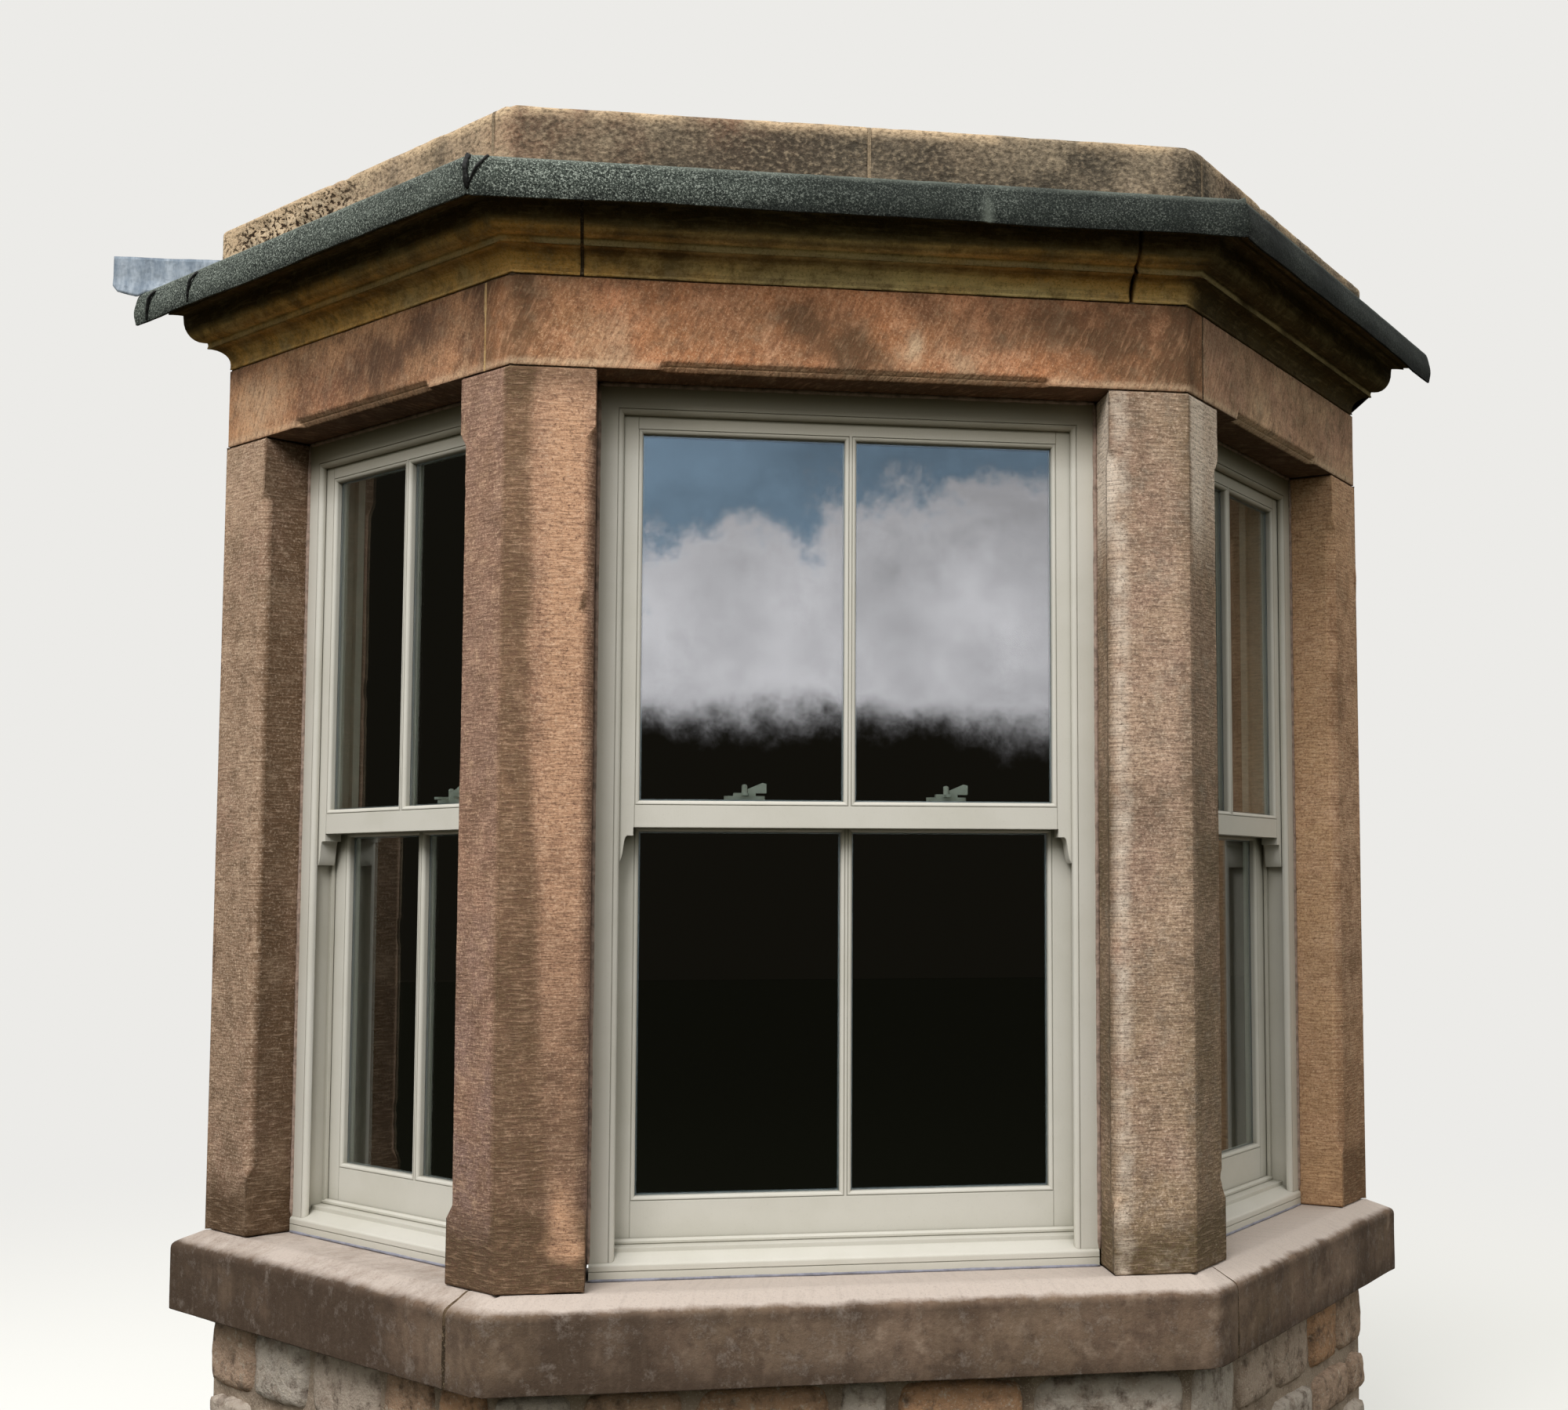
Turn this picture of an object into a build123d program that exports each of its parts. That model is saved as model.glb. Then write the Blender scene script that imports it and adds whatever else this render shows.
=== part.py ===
"""Canted stone bay window with three double hung sash windows.

Lengths are in millimetres. X runs along the house wall, +Y points into the
house and +Z is up. The origin is on the ground in the middle of the bay's plan.
"""

from build123d import *
from math import atan2, cos, hypot, sin, sqrt, tan
import os

# Plan of the bay, measured on the face of the mullions.
front_width = 1308.0
wall_width = 2622.0
bay_projection = 815.0
front_opening = 981.0
jamb_width = 170.0
mullion_side = 154.0
stone_depth = 250.0
apron_thickness = 300.0

# Heights of the courses, from the ground up.
apron_height = 681.0
sill_height = 169.0
opening_height = 1700.0
lintel_height = 175.0
cornice_height = 165.0
blocking_height = 155.0

# Where the stones of each course meet, from the corner or the middle.
course_joint = 80.0
cornice_joint_left = -522.0
cornice_joint_right = 540.0
blocking_joint = 18.0
blocking_side_joint = 40.0

# Stone sill section.
sill_reach = 56.0
sill_weathering = 26.0
sill_nose_radius = 13.0
sill_foot_radius = 5.0

# Stopped chamfers at the openings.
chamfer_width = 18.0
chamfer_run = 25.0
chamfer_top_stop = 108.0
chamfer_bottom_stop = 121.0
lintel_stop = 110.0

# Cornice section: reach from the lintel face and height above the bed.
cornice_bed_fillet = 14.0
cavetto_reach = 38.0
cavetto_top = 45.0
list_height = 13.0
list_set = 6.0
ovolo_reach = 80.0
ovolo_top = 112.0
corona_reach = 140.0
corona_soffit = 118.0
drip_depth = 4.0
drip_width = 18.0
cornice_tail = 170.0

# Blocking course.
blocking_reach = 20.0
blocking_depth = 150.0
blocking_arris = 14.0

# Felt, lead and the roof behind the blocking course.
felt_thickness = 5.0
felt_reach = 165.0
felt_drop = 77.0
lead_thickness = 2.5
lead_apron = 60.0
lead_upstand = 78.0
lead_overhang = 70.0
board_thickness = 22.0
joist_width = 50.0
joist_spacing = 300.0
joist_count = 7
ceiling_thickness = 20.0

# Box frame, measured inwards from the edge of the opening.
reveal = 106.0
frame_clearance = 3.0
frame_depth = 120.0
lining_thickness = 12.0
side_lining = 50.0
head_lining = 59.0
lining_round = 9.0
quirk_set = 1.0
quirk_width = 1.6
quirk_depth = 1.6
pulley_stile = 30.0
parting_bead = 8.0
parting_bead_width = 10.0
staff_bead = 16.0
staff_bead_width = 14.0

# Timber sill.
nosing_height = 30.0
nosing_radius = 6.0
nosing_quirk = 17.0
sill_set_forward = 5.0
sill_step_back = 34.0
sill_slope_top = 46.0
sill_step = 8.0
timber_sill_height = 62.0
sill_bead = 10.0
sill_bead_rise = 4.0

# Sashes.
sash_thickness = 38.0
sash_clearance = 2.0
stile_width = 55.0
top_rail = 61.0
bottom_rail = 82.0
meeting_rail = 51.5
meeting_height = 845.0
meeting_overlap = 51.5
lower_meeting_rail = 58.0
closer_height = 30.0
closer_clearance = 0.3
bar_width = 23.0
sash_round = 6.5
rail_joint_width = 1.2
rail_joint_depth = 0.8
horn_width = 44.0
horn_length = 67.0
horn_fillet = 16.0
horn_step = 10.0
horn_tip = 18.0

# Glass and its seat in the sash.
glass_thickness = 12.0
glass_set_back = 14.0
glass_cover = 9.0

# Sash fasteners.
fastener_spacing = 400.0
cant_fastener = 90.0
fastener_length = 80.0
fastener_width = 22.0
fastener_base = 12.0
tier_length = 43.0
tier_width = 18.0
tier_height = 6.0
fastener_arm_width = 13.0
fastener_arm_thickness = 5.0
fastener_clearance = 4.0
knob_radius = 5.5
knob_height = 17.0
knob_round = 4.0
lever_start = 6.5
lever_length = 36.0
lever_low = 8.0
lever_high = 20.0
lever_thickness = 12.0

# Values that follow from those above.
half_front = front_width / 2
half_wall = wall_width / 2
cant_angle = atan2(bay_projection, half_wall - half_front)
cant_length = hypot(bay_projection, half_wall - half_front)
cant_opening = cant_length - jamb_width - mullion_side
wall_y = (bay_projection + felt_reach) / 2
sill_bed_z = apron_height
sill_z = sill_bed_z + sill_height
lintel_z = sill_z + opening_height
cornice_z = lintel_z + lintel_height
blocking_z = cornice_z + cornice_height
upper_sash_face = reveal + lining_thickness + sash_clearance
parting_face = upper_sash_face + sash_thickness + sash_clearance
lower_sash_face = parting_face + parting_bead + sash_clearance
staff_face = lower_sash_face + sash_thickness + sash_clearance
sash_edge = pulley_stile + sash_clearance
fastener_middle = lower_sash_face + sash_thickness / 2
upper_glass_back = upper_sash_face + glass_set_back + glass_thickness
fastener_arm = fastener_middle - upper_glass_back - fastener_arm_width / 2 - fastener_clearance

# The house wall's face, where every course of the bay ends.
wall_plane = Plane.XZ.offset(-wall_y)

os.makedirs("parts", exist_ok=True)


def face_line(reach):
    """Four plan points of the line that runs round the bay, reach outside its faces."""
    corner_x = half_front + reach * tan(cant_angle / 2)
    wall_x = half_wall + reach / sin(cant_angle)
    front_y = wall_y - bay_projection - reach
    left = [(-wall_x, wall_y), (-corner_x, front_y)]
    right = [(corner_x, front_y), (wall_x, wall_y)]
    return left + right


def cant_point(side, distance, depth):
    """Plan point on a canted side: distance from the house wall, depth into the stone."""
    x = half_wall - distance * cos(cant_angle) - depth * sin(cant_angle)
    y = wall_y - distance * sin(cant_angle) + depth * cos(cant_angle)
    return (side * x, y)


def opening_plane(side):
    """Upright plane on the outer face, at the middle of an opening's foot, facing out."""
    if side == 0:
        return Plane(
            origin=(0, wall_y - bay_projection, sill_z),
            x_dir=(1, 0, 0),
            z_dir=(0, -1, 0),
        )
    x, y = cant_point(side, jamb_width + cant_opening / 2, 0)
    return Plane(
        origin=(x, y, sill_z),
        x_dir=(cos(cant_angle), side * sin(cant_angle), 0),
        z_dir=(side * sin(cant_angle), -cos(cant_angle), 0),
    )


def outward_section(side):
    """Upright plane across a window: X runs out of the bay and Y up, at its middle."""
    face = opening_plane(side)
    return Plane(origin=face.origin, x_dir=face.z_dir, z_dir=face.z_dir.cross(face.y_dir))


def swept_course(section):
    """Section drawn in reach and height, run round the three faces and cut at the wall."""
    corners = face_line(0)
    start_x, start_y = cant_point(1, -stone_depth, 0)
    with BuildPart() as course:
        with BuildLine() as path:
            Polyline((start_x, start_y), corners[2], corners[1], (-start_x, start_y))
        across = Plane(
            origin=(start_x, start_y, 0),
            x_dir=(sin(cant_angle), -cos(cant_angle), 0),
            z_dir=(-cos(cant_angle), -sin(cant_angle), 0),
        )
        with BuildSketch(across):
            add(section)
        sweep(path=path.wires()[0], transition=Transition.RIGHT)
        split(bisect_by=wall_plane, keep=Keep.TOP)
    return course.part


def joint_plane(side, inner_reach):
    """Upright plane of the joint near a corner, from the face to the inner corner."""
    outer_x, outer_y = cant_point(side, cant_length - course_joint, 0)
    inner_x, inner_y = face_line(-inner_reach)[2]
    run_x = side * inner_x - outer_x
    run_y = inner_y - outer_y
    return Plane(origin=(outer_x, outer_y, 0), z_dir=(-side * run_y, side * run_x, 0))


def stopped_chamfer(arris, first_leg, second_leg, start, end):
    """Cutter for a chamfer along an arris, which stops in a slope at both ends."""
    inward = (first_leg + second_leg).normalized()
    along = first_leg.cross(second_leg).normalized()
    depth = chamfer_width / sqrt(2)
    outside = -chamfer_width
    with BuildPart() as cutter:
        with BuildSketch(Plane(origin=arris, x_dir=inward, z_dir=inward.cross(along))):
            with BuildLine():
                Polyline(
                    (outside, start),
                    (0, start),
                    (depth, start + chamfer_run),
                    (depth, end - chamfer_run),
                    (0, end),
                    (outside, end),
                    close=True,
                )
            make_face()
        extrude(amount=2 * chamfer_width, both=True)
    return cutter.part


def reveal_chamfer(plan_point, face_direction, reveal_direction):
    """Chamfer on an upright arris of an opening, clear of the sill and the lintel."""
    first_leg = Vector(*face_direction, 0)
    second_leg = Vector(*reveal_direction, 0)
    upward = first_leg.cross(second_leg).Z > 0
    foot = Vector(*plan_point, sill_z)
    if not upward:
        first_leg, second_leg = second_leg, first_leg
    top = opening_height - chamfer_top_stop
    return stopped_chamfer(foot, first_leg, second_leg, chamfer_bottom_stop, top)


def lintel_chamfer(side, width):
    """Chamfer on the lower arris of a lintel, clear of both ends of the opening."""
    face = opening_plane(side)
    arris = face.origin + Vector(0, 0, opening_height)
    half = width / 2 - lintel_stop
    return stopped_chamfer(arris, Vector(0, 0, 1), -face.z_dir, -half, half)


def cant_direction(side):
    """Direction along a canted side, from the house wall towards the corner."""
    return (-side * cos(cant_angle), -sin(cant_angle))


def cant_inward(side):
    """Direction into the stone, square to a canted side."""
    return (-side * sin(cant_angle), cos(cant_angle))


# Rubble wall under the sill: one wall round the three faces, open to the room.
with BuildPart() as apron_wall:
    with BuildSketch():
        Polygon(*face_line(0), *reversed(face_line(-apron_thickness)), align=None)
    extrude(amount=apron_height)
apron_wall.part.label = "apron_wall"
export_step(apron_wall.part, "parts/apron_wall.step")

# Stone sill section: a level seat, a weathered slope and a rounded nose.
with BuildSketch() as sill_section:
    with BuildLine():
        Polyline(
            (-stone_depth, sill_bed_z),
            (-stone_depth, sill_z),
            (0, sill_z),
            (sill_reach, sill_z - sill_weathering),
            (sill_reach, sill_bed_z),
            close=True,
        )
    make_face()
    nose = sill_section.vertices().sort_by(Axis.X)[-2:].sort_by(Axis.Y)
    fillet(nose[-1], radius=sill_nose_radius)
    foot = sill_section.vertices().sort_by(Axis.Y)[:2].sort_by(Axis.X)[-1]
    fillet(foot, radius=sill_foot_radius)

# The front sill stone wraps both corners.
sill_course = swept_course(sill_section.sketch)
with BuildPart() as sill_front:
    add(sill_course)
    split(bisect_by=joint_plane(-1, stone_depth), keep=Keep.TOP)
    split(bisect_by=joint_plane(1, stone_depth), keep=Keep.TOP)
sill_front.part.label = "sill_front"
export_step(sill_front.part, "parts/sill_front.step")

with BuildPart() as sill_left:
    add(sill_course)
    split(bisect_by=joint_plane(-1, stone_depth), keep=Keep.BOTTOM)
sill_left.part.label = "sill_left"
export_step(sill_left.part, "parts/sill_left.step")

with BuildPart() as sill_right:
    add(sill_course)
    split(bisect_by=joint_plane(1, stone_depth), keep=Keep.BOTTOM)
sill_right.part.label = "sill_right"
export_step(sill_right.part, "parts/sill_right.step")


def jamb_stone(side):
    """Jamb against the house wall, with a stopped chamfer at its opening."""
    outer = cant_point(side, jamb_width, 0)
    with BuildPart() as jamb:
        with BuildSketch(Plane.XY.offset(sill_z)):
            Polygon(
                cant_point(side, -stone_depth, 0),
                outer,
                cant_point(side, jamb_width, stone_depth),
                cant_point(side, -stone_depth, stone_depth),
                align=None,
            )
        extrude(amount=opening_height)
        split(bisect_by=wall_plane, keep=Keep.TOP)
        away_x, away_y = cant_direction(side)
        cutter = reveal_chamfer(outer, (-away_x, -away_y), cant_inward(side))
        add(cutter, mode=Mode.SUBTRACT)
    return jamb.part


def mullion_stone(side):
    """Corner mullion, square to both openings, with a stopped chamfer at each."""
    face_y = wall_y - bay_projection
    front_arris = (side * front_opening / 2, face_y)
    cant_arris = cant_point(side, cant_length - mullion_side, 0)
    with BuildPart() as mullion:
        with BuildSketch(Plane.XY.offset(sill_z)):
            Polygon(
                front_arris,
                (side * half_front, face_y),
                cant_arris,
                cant_point(side, cant_length - mullion_side, stone_depth),
                (side * face_line(-stone_depth)[2][0], face_y + stone_depth),
                (side * front_opening / 2, face_y + stone_depth),
                align=None,
            )
        extrude(amount=opening_height)
        add(reveal_chamfer(front_arris, (side, 0), (0, 1)), mode=Mode.SUBTRACT)
        cutter = reveal_chamfer(cant_arris, cant_direction(side), cant_inward(side))
        add(cutter, mode=Mode.SUBTRACT)
    return mullion.part


for side, name in ((-1, "left"), (1, "right")):
    jamb_part = jamb_stone(side)
    jamb_part.label = f"jamb_{name}"
    export_step(jamb_part, f"parts/jamb_{name}.step")
    mullion_part = mullion_stone(side)
    mullion_part.label = f"mullion_{name}"
    export_step(mullion_part, f"parts/mullion_{name}.step")

# Lintel course: one band, cut into three stones at its joints.
with BuildPart() as lintel_course:
    with BuildSketch(Plane.XY.offset(lintel_z)):
        Polygon(*face_line(0), *reversed(face_line(-stone_depth)), align=None)
    extrude(amount=lintel_height)

with BuildPart() as lintel_front:
    add(lintel_course.part)
    split(bisect_by=joint_plane(-1, stone_depth), keep=Keep.TOP)
    split(bisect_by=joint_plane(1, stone_depth), keep=Keep.TOP)
    add(lintel_chamfer(0, front_opening), mode=Mode.SUBTRACT)
lintel_front.part.label = "lintel_front"
export_step(lintel_front.part, "parts/lintel_front.step")

with BuildPart() as lintel_left:
    add(lintel_course.part)
    split(bisect_by=joint_plane(-1, stone_depth), keep=Keep.BOTTOM)
    add(lintel_chamfer(-1, cant_opening), mode=Mode.SUBTRACT)
lintel_left.part.label = "lintel_left"
export_step(lintel_left.part, "parts/lintel_left.step")

with BuildPart() as lintel_right:
    add(lintel_course.part)
    split(bisect_by=joint_plane(1, stone_depth), keep=Keep.BOTTOM)
    add(lintel_chamfer(1, cant_opening), mode=Mode.SUBTRACT)
lintel_right.part.label = "lintel_right"
export_step(lintel_right.part, "parts/lintel_right.step")

# Cornice section: cavetto, list, ovolo, then the corona with a drip under it.
list_top = cavetto_top + list_height
with BuildSketch() as cornice_section:
    with BuildLine():
        Line((-cornice_tail, 0), (0, 0))
        Line((0, 0), (0, cornice_bed_fillet))
        ThreePointArc(
            (0, cornice_bed_fillet),
            (
                cavetto_reach * (1 - sqrt(0.5)),
                cornice_bed_fillet + (cavetto_top - cornice_bed_fillet) * sqrt(0.5),
            ),
            (cavetto_reach, cavetto_top),
        )
        Line((cavetto_reach, cavetto_top), (cavetto_reach, list_top))
        Line((cavetto_reach, list_top), (cavetto_reach + list_set, list_top))
        ThreePointArc(
            (cavetto_reach + list_set, list_top),
            (
                cavetto_reach
                + list_set
                + (ovolo_reach - cavetto_reach - list_set) * sqrt(0.5),
                list_top + (ovolo_top - list_top) * (1 - sqrt(0.5)),
            ),
            (ovolo_reach, ovolo_top),
        )
        Line((ovolo_reach, ovolo_top), (ovolo_reach, corona_soffit))
        Polyline(
            (ovolo_reach, corona_soffit),
            (corona_reach - 2 * drip_width, corona_soffit),
            (corona_reach - 2 * drip_width, corona_soffit + drip_depth),
            (corona_reach - drip_width, corona_soffit + drip_depth),
            (corona_reach - drip_width, corona_soffit),
            (corona_reach, corona_soffit),
            (corona_reach, cornice_height),
            (-cornice_tail, cornice_height),
            (-cornice_tail, 0),
        )
    make_face()

cornice_course = swept_course(Pos(0, cornice_z) * cornice_section.sketch)
cornice_ends = {
    "left": (-wall_width, cornice_joint_left),
    "centre": (cornice_joint_left, cornice_joint_right),
    "right": (cornice_joint_right, wall_width),
}
for name, (start, end) in cornice_ends.items():
    with BuildPart() as cornice_stone:
        add(cornice_course)
        split(bisect_by=Plane.YZ.offset(start), keep=Keep.TOP)
        split(bisect_by=Plane.YZ.offset(end), keep=Keep.BOTTOM)
    cornice_stone.part.label = f"cornice_{name}"
    export_step(cornice_stone.part, f"parts/cornice_{name}.step")

# Felt over the cornice, dressed down its front, standing off at the foot.
felt_bed = felt_thickness + corona_reach
with BuildSketch() as felt_section:
    with BuildLine():
        Polyline(
            (blocking_reach, 0),
            (corona_reach, 0),
            (felt_reach - felt_thickness, -felt_drop),
            (felt_reach, -felt_drop),
            (felt_bed, felt_thickness),
            (blocking_reach, felt_thickness),
            close=True,
        )
    make_face()
with BuildPart() as cornice_felt:
    add(swept_course(Pos(0, blocking_z) * felt_section.sketch))
cornice_felt.part.label = "cornice_felt"
export_step(cornice_felt.part, "parts/cornice_felt.step")

# Blocking course: a low parapet in four stones with a rounded top arris.
with BuildSketch() as blocking_section:
    with BuildLine():
        Polyline(
            (blocking_reach - blocking_depth, 0),
            (blocking_reach, 0),
            (blocking_reach, blocking_height),
            (blocking_reach - blocking_depth, blocking_height),
            close=True,
        )
    make_face()
    crown = blocking_section.vertices().group_by(Axis.Y)[-1]
    fillet(crown, radius=blocking_arris)
blocking_course = swept_course(Pos(0, blocking_z) * blocking_section.sketch)
blocking_back = blocking_depth - blocking_reach


def blocking_side_plane(side):
    """Joint just round the corner, square to the canted side."""
    x, y = cant_point(side, cant_length - blocking_side_joint, 0)
    along_x, along_y = cant_direction(side)
    return Plane(origin=(x, y, 0), z_dir=(along_x, along_y, 0))


with BuildPart() as blocking_left:
    add(blocking_course)
    split(bisect_by=blocking_side_plane(-1), keep=Keep.BOTTOM)
blocking_left.part.label = "blocking_left"
export_step(blocking_left.part, "parts/blocking_left.step")

with BuildPart() as blocking_front_left:
    add(blocking_course)
    split(bisect_by=blocking_side_plane(-1), keep=Keep.TOP)
    split(bisect_by=Plane.YZ.offset(blocking_joint), keep=Keep.BOTTOM)
blocking_front_left.part.label = "blocking_front_left"
export_step(blocking_front_left.part, "parts/blocking_front_left.step")

with BuildPart() as blocking_front_right:
    add(blocking_course)
    split(bisect_by=blocking_side_plane(1), keep=Keep.TOP)
    split(bisect_by=Plane.YZ.offset(blocking_joint), keep=Keep.TOP)
blocking_front_right.part.label = "blocking_front_right"
export_step(blocking_front_right.part, "parts/blocking_front_right.step")

with BuildPart() as blocking_right:
    add(blocking_course)
    split(bisect_by=blocking_side_plane(1), keep=Keep.BOTTOM)
blocking_right.part.label = "blocking_right"
export_step(blocking_right.part, "parts/blocking_right.step")

# Joists run from the lintels to the house wall, their ends cut to the cornice's back.
with BuildPart() as roof_joists:
    with BuildSketch(Plane.XY.offset(cornice_z)):
        with Locations((0, wall_y - bay_projection)):
            with GridLocations(joist_spacing, 1, joist_count, 1):
                Rectangle(joist_width, 2 * bay_projection)
        Polygon(*face_line(-cornice_tail), align=None, mode=Mode.INTERSECT)
    extrude(amount=cornice_height)
roof_joists.part.label = "roof_joists"
export_step(roof_joists.part, "parts/roof_joists.step")

with BuildPart() as roof_boards:
    with BuildSketch(Plane.XY.offset(blocking_z)):
        Polygon(*face_line(-blocking_back), align=None)
    extrude(amount=board_thickness)
roof_boards.part.label = "roof_boards"
export_step(roof_boards.part, "parts/roof_boards.step")

with BuildPart() as roof_felt:
    with BuildSketch(Plane.XY.offset(blocking_z + board_thickness)):
        Polygon(*face_line(-blocking_back), align=None)
    extrude(amount=felt_thickness)
roof_felt.part.label = "roof_felt"
export_step(roof_felt.part, "parts/roof_felt.step")

with BuildPart() as ceiling:
    with BuildSketch(Plane.XY.offset(cornice_z)):
        Polygon(*face_line(-stone_depth), align=None)
    extrude(amount=-ceiling_thickness)
ceiling.part.label = "ceiling"
export_step(ceiling.part, "parts/ceiling.step")

# Lead against the house wall, lapped over the left end of the felt.
lead_z = blocking_z + felt_thickness
lead_inner = half_wall + blocking_reach / sin(cant_angle)
lead_outer = half_wall + corona_reach / sin(cant_angle) + lead_overhang
with BuildPart() as lead_flashing:
    with BuildSketch(Plane.YZ.offset(-lead_outer)):
        with BuildLine():
            Polyline(
                (wall_y, lead_z),
                (wall_y, lead_z + lead_upstand),
                (wall_y - lead_thickness, lead_z + lead_upstand),
                (wall_y - lead_thickness, lead_z + lead_thickness),
                (wall_y - lead_apron, lead_z + lead_thickness),
                (wall_y - lead_apron, lead_z),
                close=True,
            )
        make_face()
    extrude(amount=lead_outer - lead_inner)
lead_flashing.part.label = "lead_flashing"
export_step(lead_flashing.part, "parts/lead_flashing.step")


def timber_sill(side, width):
    """Stepped sill of a window: rounded nosing, weathered slope, bead before the sash."""
    front = -(reveal - sill_set_forward)
    step = front - sill_step_back
    back = -(reveal + frame_depth)
    bead_back = -lower_sash_face + sash_clearance
    bead_face = bead_back + sill_bead
    bead_foot = sill_slope_top + sill_step + sash_clearance
    bead_top = timber_sill_height + sill_bead_rise
    with BuildPart() as board:
        with BuildSketch(outward_section(side)):
            with BuildLine():
                Polyline(
                    (back, 0),
                    (front, 0),
                    (front, nosing_height),
                    (step, sill_slope_top),
                    (step, sill_slope_top + sill_step),
                    (bead_face - quirk_depth, bead_foot),
                    (bead_face - quirk_depth, bead_foot + quirk_width),
                    (bead_face, bead_foot + quirk_width),
                    (bead_face, timber_sill_height),
                    (bead_face - sill_bead / 2, bead_top),
                    (bead_back, bead_top),
                    (bead_back, timber_sill_height),
                    (back, timber_sill_height),
                    close=True,
                )
            make_face()
            with Locations((front, nosing_quirk)):
                Rectangle(2 * quirk_depth, quirk_width, mode=Mode.SUBTRACT)
        extrude(amount=width / 2 - frame_clearance, both=True)
        face = opening_plane(side)
        front_edges = board.edges().group_by(Axis(face.origin, face.z_dir))[-1]
        fillet(front_edges.sort_by(Axis.Z)[-1], radius=nosing_radius)
        split(bisect_by=wall_plane, keep=Keep.TOP)
    return board.part


def box_frame(side, width, sill_part):
    """Linings with a quirked round, pulley stiles, head and beads, standing on the sill."""
    face = opening_plane(side)
    stile_start = reveal + lining_thickness
    parting_edge = pulley_stile + parting_bead_width
    staff_edge = pulley_stile + staff_bead_width
    rings = (
        (side_lining, head_lining, reveal, lining_thickness),
        (pulley_stile, pulley_stile, stile_start, frame_depth - lining_thickness),
        (parting_edge, parting_edge, parting_face, parting_bead),
        (staff_edge, staff_edge, staff_face, staff_bead),
    )
    inner_quirk = lining_round + quirk_set
    with BuildPart() as frame:
        for jamb, head, start, length in rings:
            with BuildSketch(face.offset(-start)):
                with Locations((0, opening_height / 2)):
                    Rectangle(width - 2 * frame_clearance, opening_height)
                with Locations((0, (opening_height - head) / 2)):
                    Rectangle(width - 2 * jamb, opening_height - head, mode=Mode.SUBTRACT)
            extrude(amount=-length)
        front = frame.faces().sort_by(Axis(face.origin, face.z_dir))[-1]
        centres = [(edge, face.to_local_coords(edge.center())) for edge in front.edges()]
        rounded = [
            edge
            for edge, centre in centres
            if abs(centre.X) < width / 2 - side_lining + 1 and 1 < centre.Y < opening_height - 1
        ]
        fillet(rounded, radius=lining_round)
        with BuildSketch(face.offset(-reveal)):
            for grow, mode in (
                (inner_quirk + quirk_width, Mode.ADD),
                (inner_quirk, Mode.SUBTRACT),
            ):
                Rectangle(
                    width - 2 * (side_lining - grow),
                    2 * (opening_height - head_lining + grow),
                    mode=mode,
                )
        extrude(amount=-quirk_depth, mode=Mode.SUBTRACT)
        add(sill_part, mode=Mode.SUBTRACT)
        split(bisect_by=wall_plane, keep=Keep.TOP)
    return frame.part


def sash(side, width, low, high, low_rail, high_rail, start):
    """Stiles, rails and upright bar of a sash, with a round and a quirk by the glass."""
    face = opening_plane(side)
    half_width = width / 2 - sash_edge
    pane_width, pane_height, pane_x, pane_y = pane_size(width, low, high, low_rail, high_rail)
    inner_quirk = sash_round + quirk_set
    outer_quirk = inner_quirk + quirk_width
    joint_x = half_width - stile_width + outer_quirk
    with BuildPart() as frame:
        with BuildSketch(face.offset(-start)):
            with Locations((0, (low + high) / 2)):
                Rectangle(2 * half_width, high - low)
            with Locations((-pane_x, pane_y), (pane_x, pane_y)):
                Rectangle(pane_width, pane_height, mode=Mode.SUBTRACT)
        extrude(amount=-sash_thickness)
        front = frame.faces().sort_by(Axis(face.origin, face.z_dir))[-1]
        rounded = [edge for wire in front.inner_wires() for edge in wire.edges()]
        fillet(rounded, radius=sash_round)
        with BuildSketch(face.offset(-start)):
            for grow, mode in ((outer_quirk, Mode.ADD), (inner_quirk, Mode.SUBTRACT)):
                with Locations((-pane_x, pane_y), (pane_x, pane_y)):
                    Rectangle(pane_width + 2 * grow, pane_height + 2 * grow, mode=mode)
        extrude(amount=-quirk_depth, mode=Mode.SUBTRACT)
        with BuildSketch(face.offset(-start)):
            for rail_low, rail_high in (
                (low, low + low_rail - outer_quirk),
                (high - high_rail + outer_quirk, high),
            ):
                with Locations(*((hand * joint_x, (rail_low + rail_high) / 2) for hand in (-1, 1))):
                    Rectangle(rail_joint_width, rail_high - rail_low)
        extrude(amount=-rail_joint_depth, mode=Mode.SUBTRACT)
    return frame.part


def pane_size(width, low, high, low_rail, high_rail):
    """Sight size of one of a sash's two panes, and its place beside the bar."""
    sight = width / 2 - sash_edge - stile_width
    pane_width = sight - bar_width / 2
    pane_height = high - high_rail - low - low_rail
    return (
        pane_width,
        pane_height,
        (sight + bar_width / 2) / 2,
        (low + low_rail + high - high_rail) / 2,
    )


def panes(side, width, low, high, low_rail, high_rail, start):
    """Two panes of a sash, let into it all round."""
    face = opening_plane(side)
    pane_width, pane_height, pane_x, pane_y = pane_size(width, low, high, low_rail, high_rail)
    with BuildPart() as glass:
        with BuildSketch(face.offset(-start - glass_set_back)):
            with Locations((-pane_x, pane_y), (pane_x, pane_y)):
                Rectangle(pane_width + 2 * glass_cover, pane_height + 2 * glass_cover)
        extrude(amount=-glass_thickness)
    return glass.part


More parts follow.
